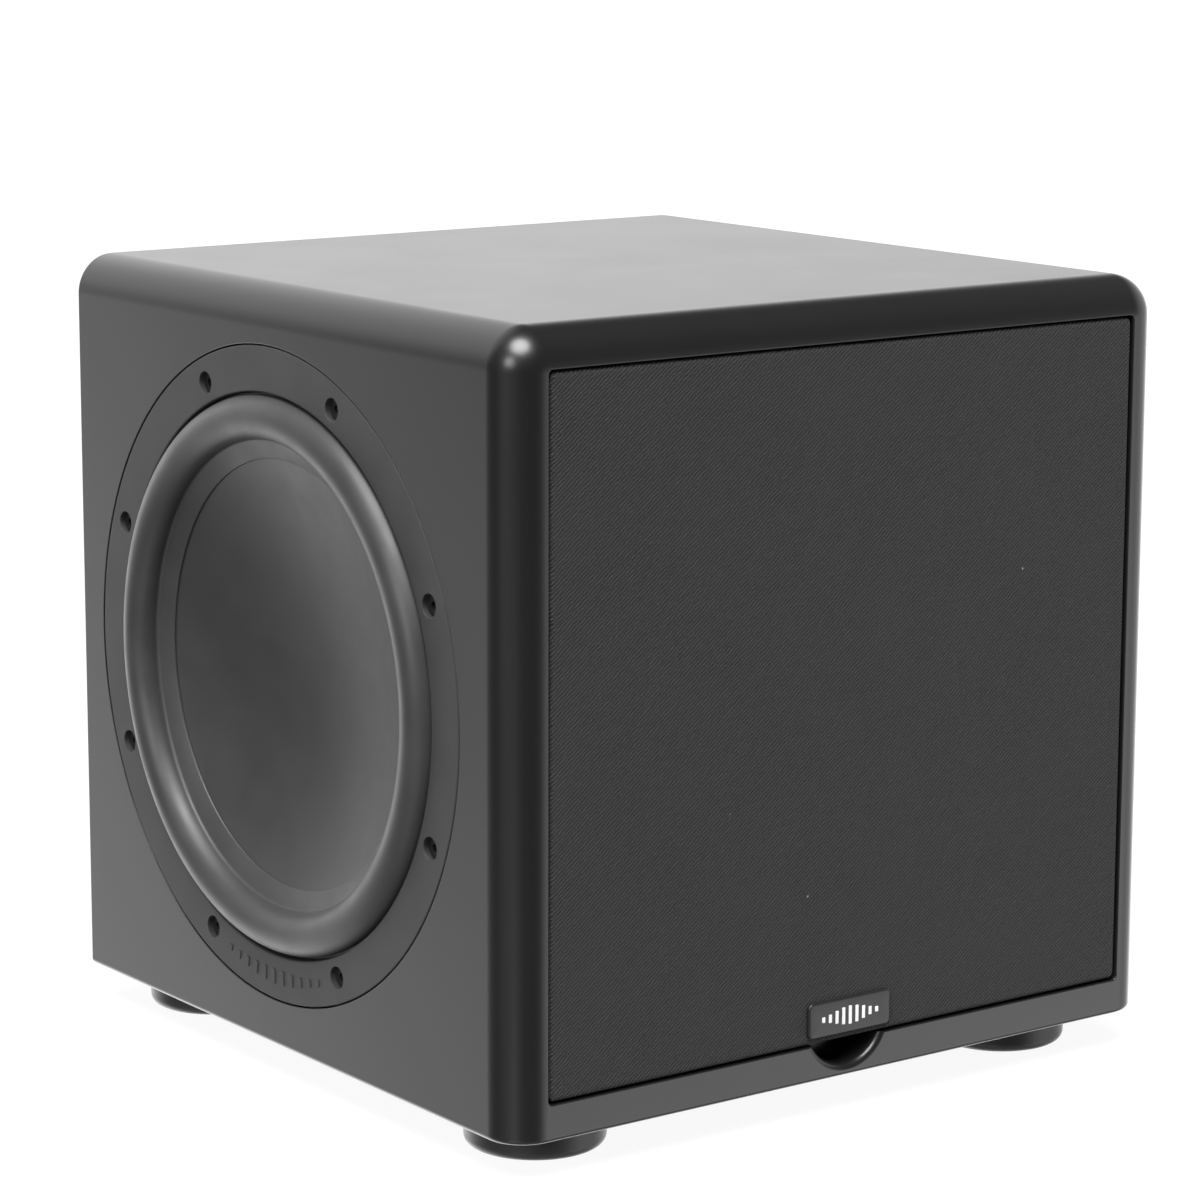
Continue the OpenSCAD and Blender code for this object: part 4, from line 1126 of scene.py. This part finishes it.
def make_knobs():
    """Fluted knobs on steel shafts, with a printed line along the top and down the side."""
    r, lift, tall, flutes, groove = 9.5, 1.0, 13.4, 32, 0.28
    # height and inset of each ring, and whether it is fluted
    sections = [(0, 0.5, 0), (0.25, 0.1, 0), (0.6, 0, 0), (2.2, 0, 0),
                (2.5, 0.15, 1), (11.0, 0.85, 1), (11.6, 0.95, 0)]
    sections += [(z, 1.05 + inset, 0) for z, inset in eased(0, tall, 0.9, 5)[1:]]
    sections.append((tall - 0.35, 3.0, 0))
    turns = full_turn(flutes * 8)
    rings = []
    for z, inset, fluted in sections:
        reach = [r - inset - fluted * groove * (1 - cos(flutes * t)) for t in turns]
        rings.append([(out * cos(t), out * sin(t), lift + z) for out, t in zip(reach, turns)])
    for x, node in zip(KNOB_XS, ("gain_knob", "crossover_knob")):
        body = node + "_body"
        where = on_rear(x, KNOB_Y)
        add(node.replace("knob", "dial"), loft(rings), where, "knob_plastic", body, [node], smooth=45)
        rod = prism(circle(3, 32), -PLATE_T - 9, lift + 0.2)
        add(node.replace("knob", "shaft"), rod, where, None, body, material="plated_steel")
        line = moved(prism(rounded(1.1, 5.2, 0.3, 3), tall - 0.6, tall + 0.02), 0, 5.0, lift)
        edge = moved(prism(rounded(1.1, 0.7, 0.1, 3), 3.0, tall - 1.1), 0, r - 1.15, lift)
        add(node.replace("knob", "pointer"), joined([line, edge]), where,
            None, body, material="panel_print")


def make_sliders():
    """Switch levers with three ridges, on a tongue behind the plate."""
    for node, x, y in (("phase_slider", -2.5, PHASE_Y), ("mode_slider", 0, MODE_Y)):
        lever = block(4, 3.8, 0.7, eased(0, PLATE_T + 4.1, 0.4), 4, share=0)
        tongue = prism(rounded(6, 4.4, 0.4, 3), 0, 1.4)
        ridge = rounded(0.5, 3.2, 0.2, 3)
        ridges = [moved(prism(ridge, PLATE_T + 3.6, PLATE_T + 4.5), i * 1.1) for i in (-1, 0, 1)]
        where = on_rear(SWITCH_X + x, y, -PLATE_T - 2)
        add(node.replace("slider", "lever"), joined([lever, tongue] + ridges), where,
            "lever_white", node + "_body", [node])


def make_jacks():
    """Gold phono sockets on hexagon nuts, each with a coloured ring round its pin hole."""
    r, tall, bore, pin = JACK_R, 11.0, 3.1, 1.7
    shell = [(2.4, -PLATE_T - 4), (r - 0.1, -PLATE_T - 4), (r - 0.1, 2.4), (r, 2.6)]
    for z in (4.2, 5.4, 6.6):
        shell += [(r, z), (r - 0.22, z + 0.2), (r - 0.22, z + 0.5), (r, z + 0.7)]
    shell += arc((r - 0.5, tall - 0.5), 0.5, 0, 90, 4) + [(bore, tall - 0.1), (bore, 1.0), (2.4, 1.0)]
    ring = [(pin, 1.0), (bore, 1.0), (bore, tall - 0.7), (bore - 0.25, tall - 0.45),
            (pin + 0.25, tall - 0.45), (pin, tall - 0.7)]
    shells, nuts = [], []
    rings = {"white": [], "red": []}
    for x, y in JACKS:
        shells.append(moved(revolve(shell, 48), x, y))
        hexagon = slab(lambda inset: circle(6 - inset, 6), [(0, 0)] + eased(0.1, 1.5, 0.25, 3))
        nuts.append(moved(hexagon, x, y))
        rings["white" if y > 0 else "red"].append(moved(revolve(ring, 40), x, y))
    add("phono_sockets", joined(shells + nuts), ON_REAR, "gold_brass", replaces=["line_jacks"], smooth=35)
    for colour, parts in rings.items():
        add(colour + "_rings", joined(parts), ON_REAR, None, material="jack_" + colour)


def make_inlet():
    """Mains socket with its three blades, and the fuse drawer below it."""
    where = on_rear(*INLET)
    flange = moved(block(34, 37, 2, eased(0, 2.2, 0.5)), 0, SOCKET_Y)
    socket = mesh_object("mains_socket", flange, where)
    case = moved(prism(rounded(27.9, 31.9, 0.6, 3), -19, 0.1), 0, SOCKET_Y)
    behind = mesh_object("socket_block", case, where)
    x, y, cut = 12.2, 8.4, 4.2
    hollow = [(-x, -y), (x, -y), (x, y - cut), (x - cut, y), (cut - x, y), (-x, y - cut)]
    flare = ((-16, 1), (1.8, 1), (2.05, 1.012), (2.2, 1.035), (4, 1.035))
    recess = loft([[(px * s, py * s, z) for px, py in hollow] for z, s in flare])
    slot = moved(flat_hole(22.5, 6.1, 0.5, 17.7, 0.2, 0, DRAWER_Y), z=2.2)
    carve(socket, [recess, slot], where)
    slot = moved(prism(rounded(22.5, 6.1, 0.5, 3), -15.5, 4), 0, DRAWER_Y)
    carve(behind, [prism(hollow, -16, 4), slot], where)
    piece(socket, "black_plastic", replaces=["power_inlet"])
    piece(behind, "black_plastic")
    blades = []
    for at in ((-7, -2), (0, 2), (7, -2)):
        blade = slab(lambda inset: rounded(2 - inset, 4 - 2 * inset, 0.3, 3), eased(-16.2, -2, 0.8))
        blades.append(moved(blade, *at))
    add("socket_blades", joined(blades), where, None, material="plated_steel")
    front = block(22, 5.6, 0.6, eased(-15, 2.2, 0.4), 3, share=0)
    grip = slab(lambda inset: rounded(8 - 2 * inset, 1.2 - inset, 0.3, 3), eased(2, 3.6, 0.3))
    drawer = joined([moved(front, 0, DRAWER_Y), moved(grip, 0, DRAWER_Y + 2.1)])
    add("fuse_tray", drawer, where, "black_plastic", "fuse_drawer_body", ["fuse_drawer"])


def make_rocker():
    """Bezel and case of the power switch, and its rocker with a dished face, a pin and marks."""
    where = on_rear(*ROCKER)
    bezel = mesh_object("switch_bezel", block(19, 25, 1.5, eased(0, 2, 0.6)), where)
    case = mesh_object("switch_case", prism(rounded(15.3, 21.9, 0.4, 3), -13, 0.1), where)
    carve(bezel, [moved(flat_hole(11.4, 20, 0.3, 12, 0.25), z=2)], where)
    carve(case, [prism(rounded(11.4, 20, 0.3, 3), -9, 4)], where)
    piece(bezel, "rocker_plastic", replaces=["rocker_bezel"])
    piece(case, "rocker_plastic")
    end_r, dip, low = 9.7, 3.2, -5.5
    outline = [(end_r * cos(radians(a)), end_r * sin(radians(a))) for a in (-22, -10, 2, 14, 24)]
    reach, rise = outline[-1]
    face = [(reach * s, dip + (rise - dip) * s ** 2) for s in (1 - i / 10 for i in range(1, 20))]
    outline += face + [(-y, z) for y, z in outline[::-1]] + [(0, low)]
    wide = 5.45
    ends = [(wide, 0.5), (wide - 0.15, 0.2), (wide - 0.5, 0)]
    sections = [(-x, inset) for x, inset in ends] + ends[::-1]
    rings = [[(x, y * (1 - inset / 9), z * (1 - inset / 5)) for y, z in outline] for x, inset in sections]
    tilted = where @ Matrix.Translation((0, 0, -1)) @ Matrix.Rotation(radians(8), 4, "X")
    add("switch_rocker", loft(rings), tilted,
        "rocker_plastic", "power_rocker_body", ["power_rocker"], smooth=25)
    pin = loft([[(x, 1.6 * cos(t), 1.6 * sin(t)) for t in full_turn(24)] for x in (-7.4, 7.4)])
    add("rocker_pin", pin, tilted, "rocker_plastic", "power_rocker_body")
    mark_y = 5.6
    mark_z = dip + (rise - dip) * (mark_y / reach) ** 2
    lean = atan2(2 * (rise - dip) * mark_y, reach * reach)
    dash = prism(rounded(0.45, 3.0, 0.15, 3), -0.1, 0.06)
    ring = revolve([(1.1, -0.1), (1.5, -0.1), (1.5, 0.06), (1.1, 0.06)], 40)
    for side, mark in ((1, dash), (-1, ring)):
        spin = Matrix.Translation((0, side * mark_y, mark_z)) @ Matrix.Rotation(side * lean, 4, "X")
        bmesh.ops.transform(mark, matrix=spin, verts=mark.verts)
    add("rocker_marks", joined([dash, ring]), tilted,
        None, "power_rocker_body", material="panel_print", even=False)


def make_heatsink():
    """Plate with nine tall fins that have round tips and shallow grooves in their sides."""
    (x0, y0), (x1, y1) = SINK_LOW, SINK_HIGH
    w, h, base, tall, fin_t, fins = x1 - x0, y1 - y0, 3.0, 11.0, 1.8, 9
    parts = [block(w, h, 0.6, eased(0, base, 0.3), 3, share=0)]
    for i in range(fins):
        x = (i - (fins - 1) / 2) * (w - fin_t) / (fins - 1)
        side = [(fin_t / 2 - 0.16 * (k % 2), base - 0.5 + k * 0.55) for k in range(13)]
        tip = arc((0, tall - fin_t / 2), fin_t / 2, 0, 180, 8)
        section = side + tip + [(-px, pz) for px, pz in side[::-1]]
        parts.append(loft([[(x + px, y, pz) for px, pz in section] for y in (-h / 2 + 0.02, h / 2 - 0.02)]))
    add("cooling_fins", joined(parts), on_rear((x0 + x1) / 2, (y0 + y1) / 2),
        "black_anodised", replaces=["heatsink"], smooth=30, even=False)


def make_plate_screws():
    """Domed cross-head screws round the plate, each turned its own way."""
    head = [(0, -0.4), (1.6, -0.4), (1.6, 0), (3.9, 0), (3.9, 0.55), (3.7, 1.1), (3.2, 1.65),
            (2.4, 2.1), (1.3, 2.34), (0, 2.4)]
    one = mesh_object("plate_screw", revolve(head, 40), Matrix.Identity(4))
    cross = []
    for turn in (0, 90):
        arm = loft([[(x * s, y * t, z) for x, y in ((0.5, 2.2), (-0.5, 2.2), (-0.5, -2.2), (0.5, -2.2))]
                    for z, s, t in ((0.9, 0.8, 0.45), (3, 1.15, 1.1))])
        cross.append(moved(arm, turn=turn))
    carve(one, cross, Matrix.Identity(4))
    places = [on_rear(x, y) @ Matrix.Rotation(radians(37 * i), 4, "Z")
              for i, (x, y) in enumerate(PLATE_SCREWS)]
    obj = repeated("plate_screw_set", one, places)
    piece(obj, "black_steel", replaces=["amp_screws"], smooth=35)
    shanks = [moved(prism(circle(1.6, 20), -14, -0.2), *at) for at in PLATE_SCREWS]
    add("plate_screw_shanks", joined(shanks), ON_REAR, "black_steel")


def make_led():
    dome = [(0, -6), (2.4, -6), (2.4, -3.05), (1.5, -3.05), (1.5, 0.2)]
    dome += [(1.5 * cos(a), 0.2 + 1.05 * sin(a)) for a in quarter(8)[1:]]
    add("led_dome", revolve(dome, 40), on_rear(*LED), "led_lens", replaces=["status_led"])


# ---- CAD nodes that keep their shape ----

def paint_nodes():
    for part in frame["record"]["subparts"]:
        node = frame["nodes"][part["node"]]
        node.data.materials.clear()
        node.data.materials.append(MATERIALS[part["material_slot"]])


paint_nodes()
make_cabinet()
make_cloth()
make_badge()
make_drivers()
make_woofer_cone()
make_screws()
make_feet()
make_leads()
make_back_panel()
make_plate()
make_print()
make_knobs()
make_sliders()
make_jacks()
make_inlet()
make_rocker()
make_heatsink()
make_plate_screws()
make_led()
